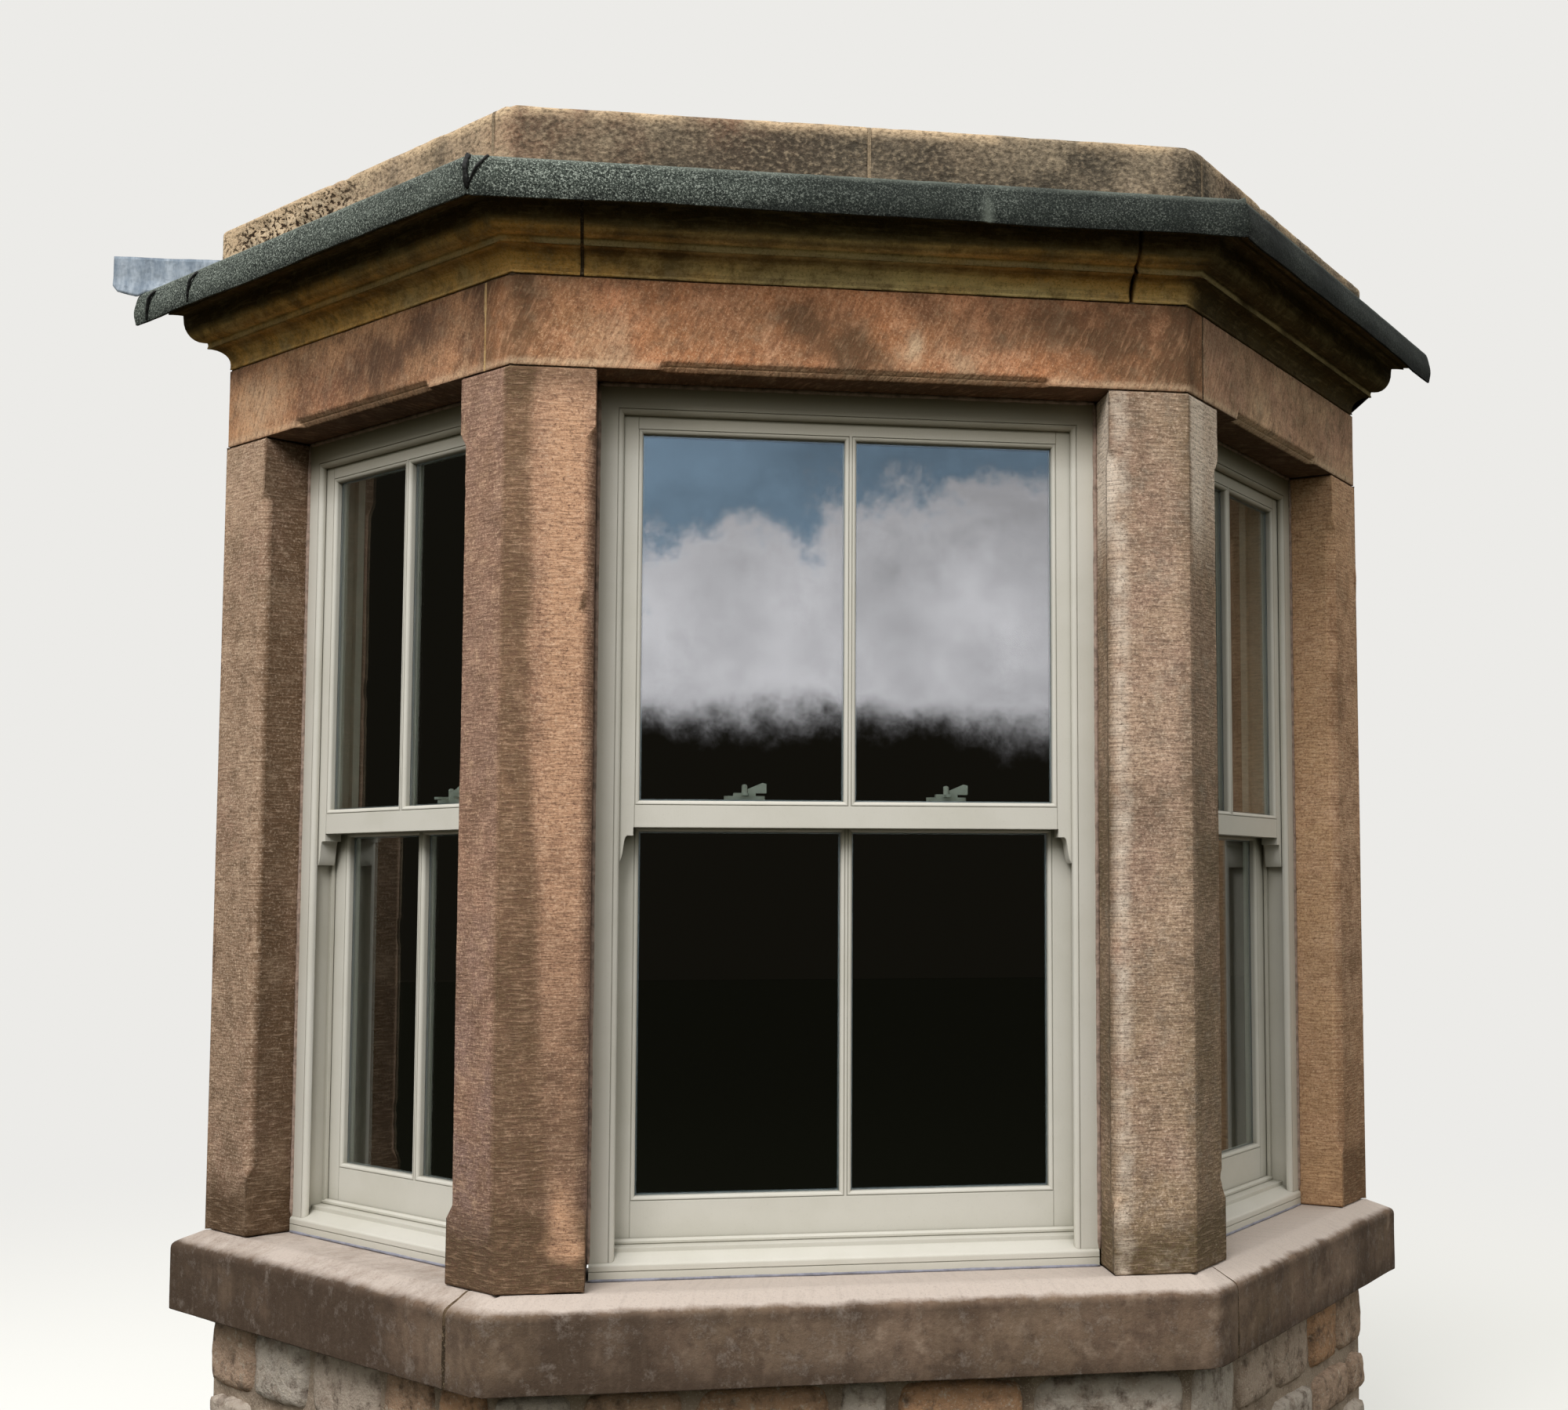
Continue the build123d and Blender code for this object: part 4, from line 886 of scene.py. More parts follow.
def lintelMasks(grid):
    # Orange bed with dark smudges that hang from the cornice, pale scabs, a pale foot and painted
    # shade on the underside.
    rise = grid[..., 2] - bay["lintelBed"]
    sootAndShade = 1.35 * ovals(grid, lintelMarks["smudges"]) * (0.8 + 0.5 * layeredNoise(grid, 0.06, 3, 83))
    broken = smoothStep(layeredNoise(grid, 0.1, 2, 85), -0.2, 0.5)
    sootAndShade = sootAndShade + 0.35 * smoothStep(grid[..., 2], 2.69, 2.725) * broken
    washed = ovals(grid, lintelMarks["scabs"]) * (1 + 0.7 * layeredNoise(grid, 0.02, 2, 91))
    washed = washed + 0.22 * smoothStep(layeredNoise(grid, 0.05, 3, 89), 0.3, 0.8)
    washed = washed + 0.45 * (1 - smoothStep(rise, 0.010, 0.024))
    # Painted shade on the underside.
    under = 1 - smoothStep(rise, 0.001, 0.006)
    drift = 0.30 + 0.8 * layeredNoise(grid * (1, 1, 1.6), 0.22, 3, 87)
    return drift, sootAndShade + 0.9 * under, washed * (1 - under)


def lintelHoles(grid):
    # Round holes on the front: depth exp(-(distance from x, z / depth)^2).
    depth = lintelMarks["holeDepth"]
    return sum(depth * np.exp(-((grid[..., 0] - x) ** 2 + (grid[..., 2] - z) ** 2) / depth ** 2)
               for x, z in lintelMarks["holes"])


sideHalf, sideMiddle = cantOpening / 2 - lintel["stop"], bay["jambWidth"] + cantOpening / 2
chamfers = {  # half the length between the stops, and the middle's distance from the stone's left end
    "left": (sideHalf, sideMiddle),
    "front": (bay["halfOpening"] - lintel["stop"], lintel["joint"] + bay["halfFront"]),
    "right": (sideHalf, cantLength - lintel["joint"] - sideMiddle),
}
for k, (place, edges) in enumerate(courseEdges(lintel["joint"]).items()):
    half, middle = chamfers[place]
    rings = [middle + sign * (half - cut)
             for sign in (-1, 1) for cut in (0.0005, lintel["run"] / 2, lintel["run"])]
    piece, *_, grid = courseStone(
        "worn_lintel_" + place, edges, lintelSection,
        finishes["lintel" if place == "front" else place + "Lintel"],
        "dressed_sandstone", lintel, 97 + 11 * k, lintelChamfer(half, middle), rings, ("lintel_" + place,),
        lintelHoles)
    weather(piece, grid, *lintelMasks(grid))
for side, name, finish in ((-1, "left", "creamMortar"), (1, "right", "darkMortar")):
    jointFill("lintel_joint_" + name, lintelSection,
              lambda off: at(jointLine, side, lintel["joint"] + side * off),
              lintel, finish, "dressed_sandstone", 101)

jambEnd = bay["jambWidth"] - bedMortar["side"]
mullionEnd = cantLength - bay["mullionSide"] + bedMortar["side"]
frontEnd = bay["halfOpening"] + bedMortar["side"]
postEdges = {  # the beds on the standing stones, from the left wall round to the right one
    "jamb_left": [leftWall, at(cantLine, -1, jambEnd)],
    "mullion_left": [at(cantLine, -1, mullionEnd), leftCorner, at(frontLine, -frontEnd)],
    "mullion_right": [at(frontLine, frontEnd), rightCorner, at(cantLine, 1, mullionEnd)],
    "jamb_right": [at(cantLine, 1, jambEnd), rightWall],
}
for k, (name, edges) in enumerate(postEdges.items()):
    bedFill("bed_" + name, edges, bay["lintelBed"], 241 + 5 * k)
bedFill("bed_cornice", [leftWall, leftCorner, rightCorner, rightWall], bay["corniceBed"], 263)
print("lintel course made")

cornice = {"spacing": 0.012, "endWear": 0.006, "cornerWear": 0.002, "wave": 0.0024, "pit": 0.0012,
           "chips": 0.005, "fill": 0.0015, "fillet": 0.014, "cavettoReach": 0.038, "cavettoTop": 0.045,
           "list": 0.013, "listSet": 0.006, "ovoloReach": 0.080, "ovoloTop": 0.112, "coronaReach": 0.140,
           "soffit": 0.118, "dripDepth": 0.004, "dripWidth": 0.018, "tail": 0.170, "height": 0.165,
           "jointLeft": -0.522, "jointRight": 0.540, "openHalf": 0.003}


def corniceProfile():
    # Cavetto as a hollow quarter of an ellipse, a square list, an ovolo as a round quarter, then the
    # corona with a drip cut under it.
    c, turn = cornice, np.linspace(0, math.pi / 2, 8)
    listTop, drip = c["cavettoTop"] + c["list"], c["coronaReach"] - 2 * c["dripWidth"]
    face = [(c["cavettoReach"], height) for height in (c["cavettoTop"] + 0.002, listTop - 0.002, listTop)]
    hollow = np.stack([c["cavettoReach"] * (1 - np.cos(turn)),
                       c["fillet"] + (c["cavettoTop"] - c["fillet"]) * np.sin(turn)], 1)
    swell = np.stack([c["cavettoReach"] + c["listSet"]
                      + (c["ovoloReach"] - c["cavettoReach"] - c["listSet"]) * np.sin(turn),
                      c["ovoloTop"] - (c["ovoloTop"] - listTop) * np.cos(turn)], 1)
    upper = [(c["ovoloReach"], c["soffit"]), (drip, c["soffit"]), (drip, c["soffit"] + c["dripDepth"]),
             (drip + c["dripWidth"], c["soffit"] + c["dripDepth"]), (drip + c["dripWidth"], c["soffit"]),
             (c["coronaReach"], c["soffit"]), (c["coronaReach"], c["height"]), (-c["tail"], c["height"]),
             (-c["tail"], 0), (0, 0)]
    places = np.concatenate([hollow, face, swell, upper])
    return [(reach, bay["corniceBed"] + height, 0) for reach, height in places]


def corniceMasks(grid, outline):
    # Soot and painted shade blacken the stone under the felt, painted shadow lines lie in the hollows
    # just under and just over the list, and the right end is painted in shade and the left end lighter;
    # rust and ochre run along the mouldings, and grey-green lichen with a painted highlight sits on
    # the list and on the round above it.
    rise = (outline[:, 1] - bay["corniceBed"])[None, :]
    # Under the felt, in the two hollows by the list and at the right end this is painted shade as well as
    # soot.
    sootAndShade = 1.8 * smoothStep(rise, 0.068, 0.088) + 0.65 * bell(rise, 0.041, 0.004)
    sootAndShade = sootAndShade + 0.5 * bell(rise, 0.064, 0.004) + 1.3 * smoothStep(grid[..., 0], 0.61, 0.74)
    sootAndShade = sootAndShade + 0.35 * smoothStep(layeredNoise(grid, 0.12, 3, 103), 0.1, 0.6)
    # Lichen with a painted highlight on the list and the round above it.
    lichenAndHighlight = smoothStep(rise, 0.0455, 0.047) * (1 - smoothStep(rise, 0.056, 0.0585))
    lichenAndHighlight = lichenAndHighlight + 0.35 * bell(rise, 0.078, 0.010)
    broken = smoothStep(layeredNoise(grid, 0.09, 3, 107), -0.8, 0.1)
    washed = 0.75 * lichenAndHighlight * broken * (0.5 + 0.5 * smoothStep(grid[..., 0], -1.0, -0.6))
    leftLight = 1 - smoothStep(grid[..., 0], -0.75, -0.3)
    drift = 0.35 + 0.45 * leftLight + 0.7 * layeredNoise(grid * (0.35, 0.35, 2.5), 0.12, 3, 105)
    return drift, sootAndShade * (1 - 0.38 * leftLight), washed


corniceSection = corniceProfile()
corniceEdges = {
    "left": [leftWall, leftCorner, at(frontLine, cornice["jointLeft"])],
    "centre": [at(frontLine, cornice["jointLeft"]),
               at(frontLine, cornice["jointRight"] - cornice["openHalf"])],
    "right": [at(frontLine, cornice["jointRight"] + cornice["openHalf"]), rightCorner, rightWall],
}
for k, (place, edges) in enumerate(corniceEdges.items()):
    piece, _, outline, grid = courseStone(
        "worn_cornice_" + place, edges, corniceSection, finishes["cornice"], "weathered_sandstone", cornice,
        109 + 7 * k, replaced=("cornice_" + place,))
    weather(piece, grid, *corniceMasks(grid, outline))
jointFill("cornice_joint", corniceSection, lambda off: at(frontLine, cornice["jointLeft"] + off), cornice,
          "darkMortar", "weathered_sandstone", 131)
print("cornice made")

blocking = {"spacing": 0.013, "endWear": 0.008, "cornerWear": 0.004, "wave": 0.004, "pit": 0.0025,
            "chips": 0.009, "fill": 0.002, "reach": 0.020, "depth": 0.150, "arris": 0.014, "joint": 0.018,
            "sideJoint": 0.040, "holeDepth": 0.012}
blockingSection = [(blocking["reach"] - blocking["depth"], bay["blockingBed"], 0),
                   (blocking["reach"], bay["blockingBed"], 0),
                   (blocking["reach"], bay["blockingTop"], blocking["arris"]),
                   (blocking["reach"] - blocking["depth"], bay["blockingTop"], blocking["arris"])]


def eaten(grid):
    # Where the face by the left end is honeycombed by weather, in patches.
    left = 1 - smoothStep(grid[..., 0], -1.06, -0.92)
    face = 1 - smoothStep(grid[..., 2], bay["blockingTop"] - 0.030, bay["blockingTop"] - 0.016)
    return left * face * smoothStep(layeredNoise(grid, 0.11, 3, 135), -0.35, 0.05)


def pits(grid):
    return eaten(grid) * smoothStep(layeredNoise(grid, 0.024, 2, 131), 0.0, 0.25)


blockingMarks = {  # x, z, width, height and depth of each soft oval
    "blooms": [(-0.40, 2.95, 0.10, 0.06, 0.35), (-0.17, 2.95, 0.15, 0.08, 0.8), (0.25, 2.93, 0.16, 0.06, 0.5),
               (0.66, 2.96, 0.05, 0.08, 0.6), (-0.60, 3.0, 0.05, 0.06, 0.3)],
    "stains": [(-0.74, 2.97, 0.020, 0.12, 0.25), (-0.80, 2.97, 0.022, 0.12, 0.45),
               (-0.91, 2.95, 0.030, 0.08, 0.50)],
}


def blockingMasks(grid):
    # Black and purple-brown blooms on the face, a thin pale arris, and a pale far left end; the right
    # half of the front is greyer, and the honeycomb's pits are painted dark as shade.
    face = 1 - smoothStep(grid[..., 2], bay["blockingTop"] - 0.035, bay["blockingTop"] - 0.004)
    farLeft = 1 - smoothStep(grid[..., 0], -1.20, -0.98)
    side = 1 - smoothStep(grid[..., 0], -0.68, -0.64)
    blooms = smoothStep(layeredNoise(grid, 0.12, 4, 113), -0.30, 0.55)
    clean = 1 - 0.55 * bell(grid[..., 0], -0.52, 0.14)
    sootAndShade = face * clean * (0.30 - 0.2 * side + 0.75 * blooms) * (1 - 0.7 * farLeft) * (1 - 0.3 * side)
    sootAndShade = sootAndShade + ovals(grid, blockingMarks["blooms"])
    stains = ovals(grid, blockingMarks["stains"]) * (1 + 0.7 * layeredNoise(grid, 0.05, 3, 123))
    # Painted shade in the honeycomb's pits.
    sootAndShade = sootAndShade + stains + 0.8 * pits(grid)
    washed = 0.80 * (1 - face) * smoothStep(layeredNoise(grid, 0.08, 3, 127), -0.5, 0.2) + 0.60 * farLeft
    washed = washed * (1 - pits(grid)) + 0.25 * side
    washed = washed * np.clip(1 - 1.3 * stains, 0, 1)
    drift = 0.45 + 0.9 * layeredNoise(grid, 0.20, 3, 129) - 0.5 * smoothStep(grid[..., 0], 0.0, 0.1)
    return drift, sootAndShade, washed


def honeycomb(grid):
    return blocking["holeDepth"] * pits(grid)


sideEdge = cantLength - blocking["sideJoint"]
blockingEdges = {
    "left": [leftWall, at(cantLine, -1, sideEdge)],
    "front_left": [at(cantLine, -1, sideEdge), leftCorner, at(frontLine, blocking["joint"])],
    "front_right": [at(frontLine, blocking["joint"]), rightCorner, at(cantLine, 1, sideEdge)],
    "right": [at(cantLine, 1, sideEdge), rightWall],
}
for k, (place, edges) in enumerate(blockingEdges.items()):
    piece, *_, grid = courseStone(
        "worn_blocking_" + place, edges, blockingSection, finishes["blocking"], "weathered_sandstone",
        blocking, 137 + 7 * k, replaced=("blocking_" + place,), sink=honeycomb)
    weather(piece, grid, *blockingMasks(grid))
    giveAttribute(piece, "holes", eaten(grid))
for name, lineAt in (("front", lambda off: at(frontLine, blocking["joint"] + off)),
                     ("left", lambda off: at(cantLine, -1, sideEdge + off)),
                     ("right", lambda off: at(cantLine, 1, sideEdge - off))):
    jointFill("blocking_joint_" + name, blockingSection, lineAt, blocking, "dullMortar",
              "weathered_sandstone", 161, 0.0035)
print("blocking course made")


# Felt dressed over the cornice, with its laps

felt = {"thickness": 0.005, "back": 0.020, "edge": 0.150, "reach": 0.165, "fold": 0.050, "drop": 0.077,
        "spacing": 0.010, "sway": 0.009, "hem": 0.006, "lapStep": 0.0025,
        "lap": cantLength + bay["halfFront"] + 0.200}


def feltSway(along, height):
    # How far the hanging part stands in, and how far its hem is lifted, from slow noise of the distance.
    hang = smoothStep(bay["blockingBed"] + 0.002 - height, 0.0, felt["drop"])
    inward = felt["sway"] * (0.5 + 0.5 * noiseAlong(along, 0.30, 149)) * hang
    lift = felt["hem"] * (0.5 + 0.5 * noiseAlong(along, 0.22, 157)) * hang
    step = felt["lapStep"] * (along > felt["lap"]) * (height < bay["blockingBed"] + 0.001)
    return inward + step, lift


def feltBend(along, reach, height):
    inward, lift = feltSway(along, height)
    return reach - inward * (reach > 0.12), height + lift


def feltSheet():
    # Sheet turned over the cornice's edge: flat from the blocking course, round the arris and down.
    thick, reach, drop, bed = felt["thickness"], felt["reach"], felt["drop"], bay["blockingBed"]
    section = [(felt["back"], bed, 0), (0.146, bed, 0.004), (reach - thick, bed - felt["fold"], 0.010),
               (reach - thick - 0.004, bed - drop, 0), (reach - 0.004, bed - drop, 0.0015),
               (reach, bed - felt["fold"], 0.014), (felt["edge"], bed + thick, 0.017),
               (felt["back"], bed + thick, 0)]
    settings = dict(felt, endWear=0.001, cornerWear=0.005, wave=0.0, pit=0.0014)
    lap = felt["lap"]
    piece, along, _, grid = courseStone(
        "felt_apron", [leftWall, leftCorner, rightCorner, rightWall], section, finishes["felt"],
        "mineral_felt", settings, 151, feltBend, (lap - 0.001, lap + 0.001), ("cornice_felt",))
    hang = smoothStep(bed - grid[..., 2], 0.0, drop)
    # Painted highlight along the lap's crease.
    creaseLight = 0.75 * bell(along, lap, 0.006)[:, None] * hang
    # Painted highlight on the top and round its arris.
    top = 0.30 * smoothStep(grid[..., 2], bed - 0.012, bed + 0.002) * (1 + layeredNoise(grid, 0.05, 2, 159))
    shade = 0.60 * smoothStep(grid[..., 0], -0.60, 0.2) + 0.12 * smoothStep(grid[..., 0], 0.62, 0.9)
    shade = shade + 0.15 + 0.2 * layeredNoise(grid, 0.12, 3, 155)
    # Painted shade along the hem.
    hem = 0.75 * smoothStep(hang, 0.80, 1.0) * (0.6 + 0.5 * layeredNoise(grid, 0.03, 2, 153))
    weather(piece, grid, shade, hem, creaseLight + top)


def bitumenRun(name, foot, lean, low, high, width, seed):
    # Black run down a lap: a thin closed strip that follows the felt's outer line, its width changed
    # by noise of the height; foot is its distance round the bay at the hem, lean its run to the top.
    v = np.linspace(0, 1, 26)
    height = bay["blockingBed"] - low + (low + high) * v
    middle = foot + lean * v
    half = width / 2 * (1 + 0.5 * layeredNoise(np.stack([height, 0 * v, 0 * v], -1), 0.02, 3, seed))
    half = half * np.where(v > 0.85, 1.5, 1) * np.sqrt(np.clip(1 - (2 * v - 1) ** 8, 0.05, 1))
    drop = bay["blockingBed"] - height
    outer = felt["reach"] - 0.015 * smoothStep(drop, 0.030, -0.005)
    outer = outer - 0.004 * smoothStep(drop, felt["fold"], felt["drop"])
    inward, lift = feltSway(middle, height)
    outer = np.where(drop < -0.002, felt["edge"], outer) - inward
    rings = []
    for across, stand in ((-1, -0.003), (-0.7, 0.0012), (0, 0.0020), (0.7, 0.0012), (1, -0.003), (0, -0.004)):
        plan = roundBay(middle + across * half, outer + stand)
        rings.append(np.concatenate([plan, (height + lift)[:, None]], -1))
    tubePiece(name, np.stack(rings, 1), finishes["bitumen"], "mineral_felt")


feltSheet()
bitumenRuns = {  # distance round the bay at the foot, lean, depth of foot, height of top, width, seed
    "end": (0.046, 0.026, 0.074, -0.010, 0.007, 209),
    "left": (0.205, 0.020, 0.072, -0.006, 0.007, 211),
    "corner": (cantLength + 0.004, -0.002, 0.066, 0.003, 0.009, 213),
    "fold": (cantLength + 0.007, 0.027, 0.058, 0.002, 0.005, 223),
}
for name, run in bitumenRuns.items():
    bitumenRun("bitumen_" + name, *run)
print("felt made")


# Rubble wall under the sill

rubble = {"inset": 0.018, "bed": (0.065, 0.135), "length": (0.11, 0.32), "joint": 0.014,
          "face": (-0.010, -0.001), "tail": 0.022, "columns": 22, "rows": 12, "shift": 0.012, "pull": 0.012,
          "round": 0.13, "crags": 0.004, "skirt": 0.006}


def rubbleCore():
    # Hearting and mortar of the wall: the wall's section, set in behind the stones.
    low, high = 0.0, bay["sillBed"] - 0.0005
    section = [(-bay["apronDepth"], low, 0), (-rubble["inset"], low, 0), (-rubble["inset"], high, 0),
               (-bay["apronDepth"], high, 0)]
    settings = {"spacing": 0.022, "endWear": 0.002, "cornerWear": 0.004, "wave": 0.004, "pit": 0.004}
    piece, *_, grid = courseStone(
        "apron_mortar", [leftWall, leftCorner, rightCorner, rightWall], section, finishes["rubbleMortar"],
        "rubble", settings, 163, replaced=("apron_wall",))
    flat = grid.reshape(-1, 3).copy()
    flat[:, 2] = np.clip(np.where(flat[:, 2] < 0.012, 0.0, flat[:, 2]), 0.0, high)
    piece.data.vertices.foreach_set("co", flat.ravel())


def layRubble():
    # Courses of stones round the unrolled bay. A stone's outline is a rounded oblong pulled about by
    # noise; its face is a flat pillow, (1 - |u|^6)^0.5 (1 - |v|^6)^0.5, with crags. Slow noise moves
    # every course up and down, so that no bed runs level.
    random = np.random.default_rng(173)
    total, top = 2 * cantLength + 2 * bay["halfFront"], bay["sillBed"] - 0.003
    cells, low = [], 0.0
    while low < top - 0.03:
        high = low + random.uniform(*rubble["bed"])
        high = top if top - high < 0.06 else high
        left = 0.0
        while left < total - 0.01:
            right = left + random.uniform(*rubble["length"])
            right = total if total - right < 0.09 else right
            cells.append((left, right, low, high))
            left = right
        low = high
    cells = np.array(cells)
    count, columns, rows = len(cells), rubble["columns"], rubble["rows"]
    middle = np.stack([cells[:, 0] + cells[:, 1], cells[:, 2] + cells[:, 3]], 1)[:, :, None, None] / 2
    half = np.stack([cells[:, 1] - cells[:, 0], cells[:, 3] - cells[:, 2]], 1)[:, :, None, None] / 2
    half = half - rubble["joint"] / 2
    u, v = np.meshgrid(np.linspace(-1, 1, columns), np.linspace(-1, 1, rows))
    own = np.arange(count)[:, None, None, None] * np.array([1.7, 2.3, 3.1])
    flat = np.stack([half[:, 0] * u, half[:, 1] * v, 0 * u * half[:, 0]], -1) + own
    rim = np.maximum(np.abs(u), np.abs(v)) ** 3
    pull = rubble["pull"] * rim * layeredNoise(flat, 0.045, 3, 175)
    cornerCut = 1 - rubble["round"] * (np.abs(u) * np.abs(v)) ** 3
    along = middle[:, 0] + (half[:, 0] * u - np.sign(u) * np.abs(pull)) * cornerCut
    height = middle[:, 1] + (half[:, 1] * v - np.sign(v) * 0.8 * np.abs(pull)) * cornerCut
    settle = np.sin(math.pi * np.clip(height / top, 0, 1)) ** 0.5
    height = np.clip(height + rubble["shift"] * noiseAlong(along, 0.5, 177) * settle, 0.0005, top)
    pillow = np.sqrt(np.clip(1 - np.abs(u) ** 6, 0, 1) * np.clip(1 - np.abs(v) ** 6, 0, 1))
    crags = rubble["crags"] * layeredNoise(flat, 0.05, 3, 179)
    out = random.uniform(*rubble["face"], count)[:, None, None] + crags
    out = -rubble["inset"] - rubble["skirt"] + (out + rubble["inset"] + rubble["skirt"]) * pillow
    out = np.minimum(out, -0.0006)
    plan = roundBay(np.clip(along, 0, total), out)
    front = np.concatenate([plan, height[..., None]], -1).reshape(count, -1, 3)
    edge = np.concatenate([
        np.arange(columns), np.arange(1, rows) * columns + columns - 1,
        (rows - 1) * columns + np.arange(columns - 2, -1, -1), np.arange(rows - 2, 0, -1) * columns])
    behind = np.full((count, len(edge)), -rubble["inset"] - rubble["tail"])
    backPlan = roundBay(np.clip(along, 0, total).reshape(count, -1)[:, edge], behind)
    back = np.concatenate([backPlan, height.reshape(count, -1)[:, edge, None]], -1)
    points = np.concatenate([front, back], 1)
    points[..., 1] = np.minimum(points[..., 1], bay["wallY"])
    row, column = np.meshgrid(np.arange(rows - 1), np.arange(columns - 1), indexing="ij")
    corner = (row * columns + column).ravel()
    size, ring = columns * rows, np.arange(len(edge))
    quads = np.concatenate([
        np.stack([corner, corner + 1, corner + columns + 1, corner + columns], 1),
        np.stack([edge, size + ring, size + np.roll(ring, -1), np.roll(edge, -1)], 1)])
    step = size + len(edge)
    shift = np.arange(count) * step
    faces = (quads[None] + shift[:, None, None]).reshape(-1, 4).tolist()
    faces += ((size + ring)[None, ::-1] + shift[:, None]).tolist()
    piece = makeMesh("rubble_stones", points.reshape(-1, 3), faces, finishes["rubble"], "rubble",
                     ("apron_wall",))
    giveAttribute(piece, "tone", np.repeat(random.uniform(0, 1, count), step))


rubbleCore()
layRubble()
print("rubble made")


# Lead at the left end

lead = {"thickness": 0.0025, "foot": [(-1.559, 2.905), (-1.550, 2.892), (-1.508, 2.882), (-1.490, 2.893),
                                      (-1.431, 2.887), (-1.393, 2.887), (-1.330, 2.890)],
        "top": [(-1.559, 2.971), (-1.330, 2.975)]}


def leadPiece():
    # Sheet against the wall between two lines, top and foot; its foot is dressed out over the felt
    # in soft dents.
    x = np.linspace(lead["foot"][0][0], lead["foot"][-1][0], 48)
    footX, footZ = np.array(lead["foot"]).T
    topX, topZ = np.array(lead["top"]).T
    foot = np.interp(x, footX, footZ) + 0.0015 * noiseAlong(x, 0.03, 215)
    top = np.interp(x, topX, topZ) + 0.002 * noiseAlong(x, 0.08, 217)
    v = np.linspace(0, 1, 14)
    height = foot[:, None] * (1 - v) + top[:, None] * v
    xs = np.broadcast_to(x[:, None], height.shape)
    flare = (0.7 + 0.5 * noiseAlong(x, 0.05, 219))[:, None]
    stand = 0.004 + 0.012 * (1 - smoothStep(v, 0.0, 0.4))[None, :] * flare
    stand = stand + 0.0015 * layeredNoise(np.stack([xs, height, 0 * xs], -1), 0.03, 2, 221)
    front = np.minimum(bay["wallY"] - stand, bay["wallY"] - lead["thickness"] - 0.0002)
    ring = np.concatenate([np.stack([xs, front, height], -1),
                           np.stack([xs, front + lead["thickness"], height], -1)[:, ::-1]], 1)
    tubePiece("dressed_lead", ring, finishes["lead"], "lead", ("lead_flashing",))


leadPiece()
print("lead made")


# Windows: sealant round the frames, bedding under the sills, spacers inside the glass

windows = {"reveal": 0.106, "edgeGap": 0.0015, "sillRise": 0.031, "headGap": 0.002, "seal": 0.0045,
           "bedding": 0.003, "steps": 110, "spacerSet": 0.0088, "spacerWidth": 0.0030, "spacerDepth": 0.008}


def windowPlan(side):
    # Middle of an opening's face, direction along it and direction outwards, in plan.
    if side == 0:
        return np.array([0.0, bay["frontY"]]), np.array([1.0, 0.0]), np.array([0.0, -1.0])
    middle = cantLine(side, bay["jambWidth"] + cantOpening / 2, np.zeros(1))[0]
    return middle, np.array([cosCant, side * sinCant]), np.array([side * sinCant, -cosCant])


def beadRun(name, start, end, radius, finish, seed):
    # Round bead from start to end, its radius changed by noise of the distance.
    t = np.linspace(0, 1, windows["steps"])[:, None]
    line, forward = start * (1 - t) + end * t, unit(end - start)
    first = unit(np.cross(forward, (0.3, 0.9, 0.1)))
    turn = np.linspace(0, 2 * math.pi, 8, endpoint=False)[None, :, None]
    size = radius * (1 + 0.35 * layeredNoise(line, 0.03, 3, seed))
    size[0] = size[-1] = radius * 0.4
    circle = np.cos(turn) * first + np.sin(turn) * np.cross(forward, first)
    tubePiece(name, line[:, None] + circle * size[:, None, None], finishes[finish], "painted_timber")


def levelsOf(values):
    # The distinct values, a millimetre or more apart.
    values = np.sort(values)
    return values[np.append(True, np.diff(values) > 0.001)]


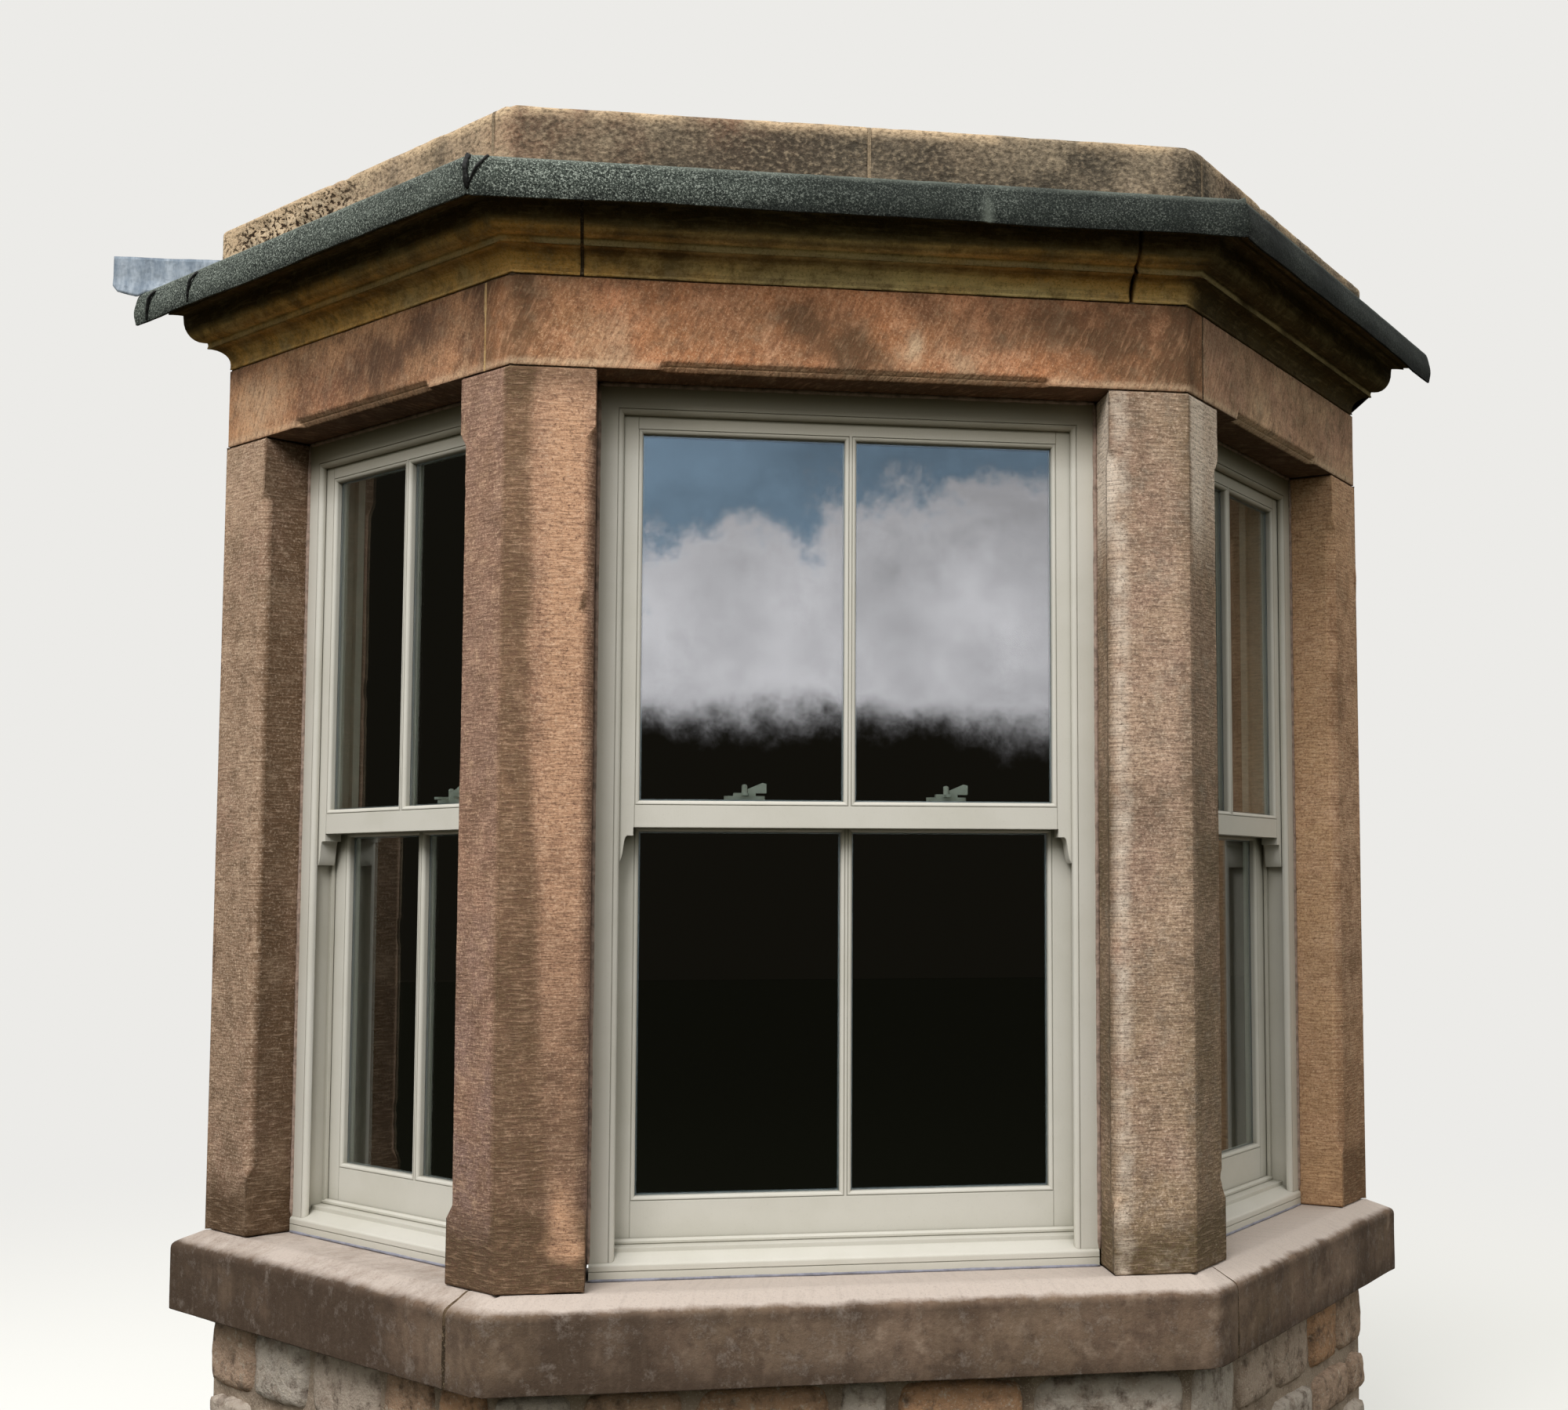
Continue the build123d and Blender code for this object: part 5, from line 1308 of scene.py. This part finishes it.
def dressWindow(side, name, width, seed):
    middle, along, out = windowPlan(side)

    def spot(u, z, depth):
        return np.append(middle + along * u + out * depth, z)

    edge, face = width / 2 - windows["edgeGap"], -windows["reveal"]
    low, high = bay["sillTop"] + windows["sillRise"], bay["lintelBed"] - windows["headGap"]
    bed, lip = bay["sillTop"] + 0.001, face + 0.004
    runs = ((f"sealant_{name}_left", "seal", "sealant", (-edge, low, face), (-edge, high, face)),
            (f"sealant_{name}_right", "seal", "sealant", (edge, low, face), (edge, high, face)),
            (f"sealant_{name}_head", "seal", "sealant", (-edge, high, face), (edge, high, face)),
            (f"bedding_{name}", "bedding", "mastic", (-edge, bed, lip), (edge, bed, lip)))
    for k, (bead, radius, finish, start, end) in enumerate(runs):
        beadRun(bead, spot(*start), spot(*end), windows[radius], finish, seed + k)

    glass = nodes["glass_" + name].data
    points = np.zeros(len(glass.vertices) * 3)
    glass.vertices.foreach_get("co", points)
    points = points.reshape(-1, 3)
    u, depth = (points[:, :2] - middle) @ along, (points[:, :2] - middle) @ out
    us, zs, depths = (levelsOf(values) for values in (u, points[:, 2], depth))
    rings = []
    for lowZ, highZ, near in ((zs[0], zs[1], depths[:2]), (zs[2], zs[3], depths[2:])):
        for leftU, rightU in ((us[0], us[1]), (us[2], us[3])):
            rings.append((leftU, rightU, lowZ, highZ, near.mean()))
    corners, faces = [], []
    for ring, (leftU, rightU, lowZ, highZ, depth) in enumerate(rings):
        # A mitred frame of four bars: an outer and an inner oblong, each at two depths.
        for inset in (windows["spacerSet"], windows["spacerSet"] + windows["spacerWidth"]):
            left, right, foot, head = leftU + inset, rightU - inset, lowZ + inset, highZ - inset
            for stand in (-windows["spacerDepth"] / 2, windows["spacerDepth"] / 2):
                corners += [spot(u, z, depth + stand)
                            for u, z in ((left, foot), (right, foot), (right, head), (left, head))]
        for k in range(4):
            a, b = 16 * ring + k, 16 * ring + (k + 1) % 4
            faces += [(a, b, b + 4, a + 4), (a + 4, b + 4, b + 12, a + 12), (a + 12, b + 12, b + 8, a + 8),
                      (a + 8, b + 8, b, a)]
    corners, faces = np.array(corners), np.array(faces)
    if not facingOut(corners, faces):
        faces = faces[:, ::-1]
    makeMesh(f"spacers_{name}", corners, faces, finishes["spacer"], "window_glass").data.shade_flat()


for side, name, width, seed in ((0, "front", 2 * bay["halfOpening"], 181), (-1, "left", cantOpening, 191),
                                (1, "right", cantOpening, 199)):
    dressWindow(side, name, width, seed)
print("sealant, bedding and spacers made")

nodeFinishes = {
    "timber_sill": "paint", "box_frame": "paint", "sash_upper": "paint", "sash_lower": "paint",
    "glass": "glass", "sash_fasteners": "enamel", "roof_joists": "softwood", "roof_boards": "softwood",
    "roof_felt": "felt", "ceiling": "plaster",
}
for node, shown in nodes.items():
    for prefix, finish in nodeFinishes.items():
        if node.startswith(prefix):
            shown.data.materials.clear()
            shown.data.materials.append(finishes[finish])
print("joinery finished")


# Floor, light and camera

studio = {"floorSize": 60.0, "floorGap": 0.0005, "floorPale": "#EDECE8", "floorDark": "#3C3B2F",
          "floorThrough": "#0E0C09", "floorGloss": "#1B1C14", "fadeStart": 2.2, "fadeEnd": 9.0,
          "backdrop": "#ECEBE8", "skyHigh": 1.34, "skyLow": 0.125, "backShade": 0.50, "cloudSize": 0.15,
          "keyPower": 565.0, "keySize": 4.0, "keyTurn": -30, "keyRise": 42, "keyDistance": 8.0,
          "keyTarget": 1.7, "skyBlue": "#6E8296", "skyBlueLight": 4.4, "cloud": "#B1AEB3", "cloudLight": 5.9}


def makeFloor():
    # Pale floor as the camera sees it, fading into the backdrop far off; darker for bounced light, as
    # ground under a window is, and an unlit room's floor where it is seen through the glass from
    # before the bay.
    material, tree = newMaterial("studioFloor")
    seen, gloss, through, bounces = (addNode(tree, "LightPath", out=name) for name in (
        "Is Camera Ray", "Is Glossy Ray", "Is Transmission Ray", "Glossy Depth"))
    place = addNode(tree, "NewGeometry", out="Position")
    inward = addNode(tree, "SeparateXYZ", {"Vector": place}, "Y")
    inside = addNode(tree, "MapRange", {0: inward, 1: -0.5, 2: -0.1})
    beyond = layColours(tree, studio["floorPale"], (inside, studio["floorThrough"]),
                        (bounces, studio["floorGloss"]))
    colour = layColours(tree, studio["floorDark"], (gloss, studio["floorGloss"]), (through, beyond),
                        (seen, studio["floorPale"]))
    ground = addNode(tree, "BsdfDiffuse", {"Color": colour})
    plain = addNode(tree, "Emission", {"Color": studio["backdrop"], "Strength": 1.0})
    far = addNode(tree, "VectorMath", {0: place}, "Value", operation="LENGTH")
    fade = addNode(tree, "MapRange", {0: far, 1: studio["fadeStart"], 2: studio["fadeEnd"]},
                   interpolation_type="SMOOTHSTEP")
    fade = addNode(tree, "Math", {0: fade, 1: seen}, operation="MULTIPLY")
    surface = addNode(tree, "MixShader", {0: fade, 1: ground, 2: plain})
    addNode(tree, "OutputMaterial", {"Surface": surface}, None)
    half = studio["floorSize"] / 2
    corners = ((-half, -half), (half, -half), (half, half), (-half, half))
    points = np.array([(x, y, -studio["floorGap"]) for x, y in corners])
    makeMesh("studioFloor", points, [(0, 1, 2, 3)], material, None)


def makeWorld():
    # Pale to the camera. For light and soft gloss it is an overcast sky, bright above, dim below and
    # dimmer still from indoors. In the panes it is a pale bank of cloud under blue-grey sky, before
    # the bay only. Through them it is an unlit room inwards and the pale backdrop outwards.
    world = bpy.data.worlds.new("studioSky")
    bpy.context.scene.world = world
    world.use_nodes = True
    tree = world.node_tree
    tree.nodes.clear()
    way = addNode(tree, "TexCoord", out="Generated")
    up, back = (addNode(tree, "SeparateXYZ", {"Vector": way}, axis) for axis in ("Z", "Y"))
    camera, gloss, through, sharp, bounces = (addNode(tree, "LightPath", out=name) for name in (
        "Is Camera Ray", "Is Glossy Ray", "Is Transmission Ray", "Is Singular Ray", "Glossy Depth"))
    rising = addNode(tree, "MapRange", {0: up, 1: 0.0, 2: 0.42})
    sky = addNode(tree, "MapRange", {0: rising, 3: studio["skyLow"], 4: studio["skyHigh"]})
    indoors = addNode(tree, "MapRange", {0: back, 1: -0.05, 2: 0.45, 3: 1.0, 4: studio["backShade"]})
    light = addNode(tree, "Math", {0: sky, 1: indoors}, operation="MULTIPLY")
    lit = addNode(tree, "Background", {"Color": layColours(tree, "#D6D8BC", (rising, "#F5F5F3")),
                                       "Strength": light})

    billows = addNode(tree, "TexNoise", {"Vector": way, "Scale": 1 / studio["cloudSize"], "Detail": 9.0,
                                         "Roughness": 0.68})
    bank = addNode(tree, "Math", {0: billows, 1: 0.22, 2: up}, operation="MULTIPLY_ADD")
    blue = addNode(tree, "MapRange", {0: bank, 1: 0.282, 2: 0.306}, interpolation_type="SMOOTHSTEP")
    foot = addNode(tree, "Math", {0: billows, 1: -0.10, 2: up}, operation="MULTIPLY_ADD")
    above = addNode(tree, "MapRange", {0: foot, 1: 0.018, 2: 0.044}, interpolation_type="SMOOTHSTEP")
    before = addNode(tree, "MapRange", {0: back, 1: -0.10, 2: -0.45}, interpolation_type="SMOOTHSTEP")
    screen = addNode(tree, "Math", {0: above, 1: before}, operation="MULTIPLY")
    thin = addNode(tree, "MapRange", {0: billows, 1: 0.36, 2: 0.62, 3: 0.62, 4: 1.15})
    bright = addNode(tree, "MapRange", {0: blue, 3: studio["cloudLight"], 4: studio["skyBlueLight"]})
    bright = addNode(tree, "Math", {0: bright, 1: thin}, operation="MULTIPLY")
    strength = addNode(tree, "MapRange", {0: screen, 3: 1.0, 4: bright})
    seen = layColours(tree, "#12130E", (screen, layColours(tree, studio["cloud"], (blue, studio["skyBlue"]))))
    mirrored = addNode(tree, "Background", {"Color": seen, "Strength": strength})

    outwards = addNode(tree, "MapRange", {0: back, 1: 0.02, 2: -0.02})
    beyond = layColours(tree, "#17130F", (outwards, studio["backdrop"]))
    room = addNode(tree, "Background", {"Color": beyond, "Strength": 1.0})
    pale = addNode(tree, "Background", {"Color": studio["backdrop"], "Strength": 1.0})
    # A pane's inner face mirrors too, and only panes mirror sharply.
    inner = addNode(tree, "MixShader", {0: bounces, 1: room, 2: mirrored})
    panes = addNode(tree, "Math", {0: gloss, 1: sharp}, operation="MULTIPLY")
    mixed = addNode(tree, "MixShader", {0: panes, 1: lit, 2: mirrored})
    mixed = addNode(tree, "MixShader", {0: through, 1: mixed, 2: inner})
    mixed = addNode(tree, "MixShader", {0: camera, 1: mixed, 2: pale})
    addNode(tree, "OutputWorld", {"Surface": mixed}, None)


def makeLamp():
    # Square lamp at an angle from the front and above the middle of the bay, facing it.
    target = Vector((0, 0, studio["keyTarget"]))
    turn, rise = math.radians(studio["keyTurn"]), math.radians(studio["keyRise"])
    way = Vector((math.sin(turn) * math.cos(rise), -math.cos(turn) * math.cos(rise), math.sin(rise)))
    lamp = bpy.data.lights.new("keyScreen", "AREA")
    lamp.size, lamp.energy, lamp.specular_factor = studio["keySize"], studio["keyPower"], 0.3
    holder = bpy.data.objects.new("keyScreen", lamp)
    bpy.context.scene.collection.objects.link(holder)
    holder.location = target + way * studio["keyDistance"]
    holder.rotation_euler = (-way).to_track_quat("-Z", "Y").to_euler()
    holder.visible_glossy = False


cameraView = {"place": (-0.4368, -3.9778, 1.5804), "yaw": 9.176, "pitch": 4.407, "lens": 44.9,
              "shiftX": -0.0979, "shiftY": 0.0203}


def makeCamera():
    data = bpy.data.cameras.new("photoView")
    data.sensor_width = 36.0
    data.lens = cameraView["lens"]
    data.shift_x, data.shift_y = cameraView["shiftX"], cameraView["shiftY"]
    holder = bpy.data.objects.new("photoView", data)
    bpy.context.scene.collection.objects.link(holder)
    holder.location = cameraView["place"]
    holder.rotation_euler = (math.radians(90 + cameraView["pitch"]), 0, -math.radians(cameraView["yaw"]))
    bpy.context.scene.camera = holder


makeFloor()
makeWorld()
makeLamp()
makeCamera()
bpy.context.scene.view_settings.view_transform = "Standard"
print("studio made")
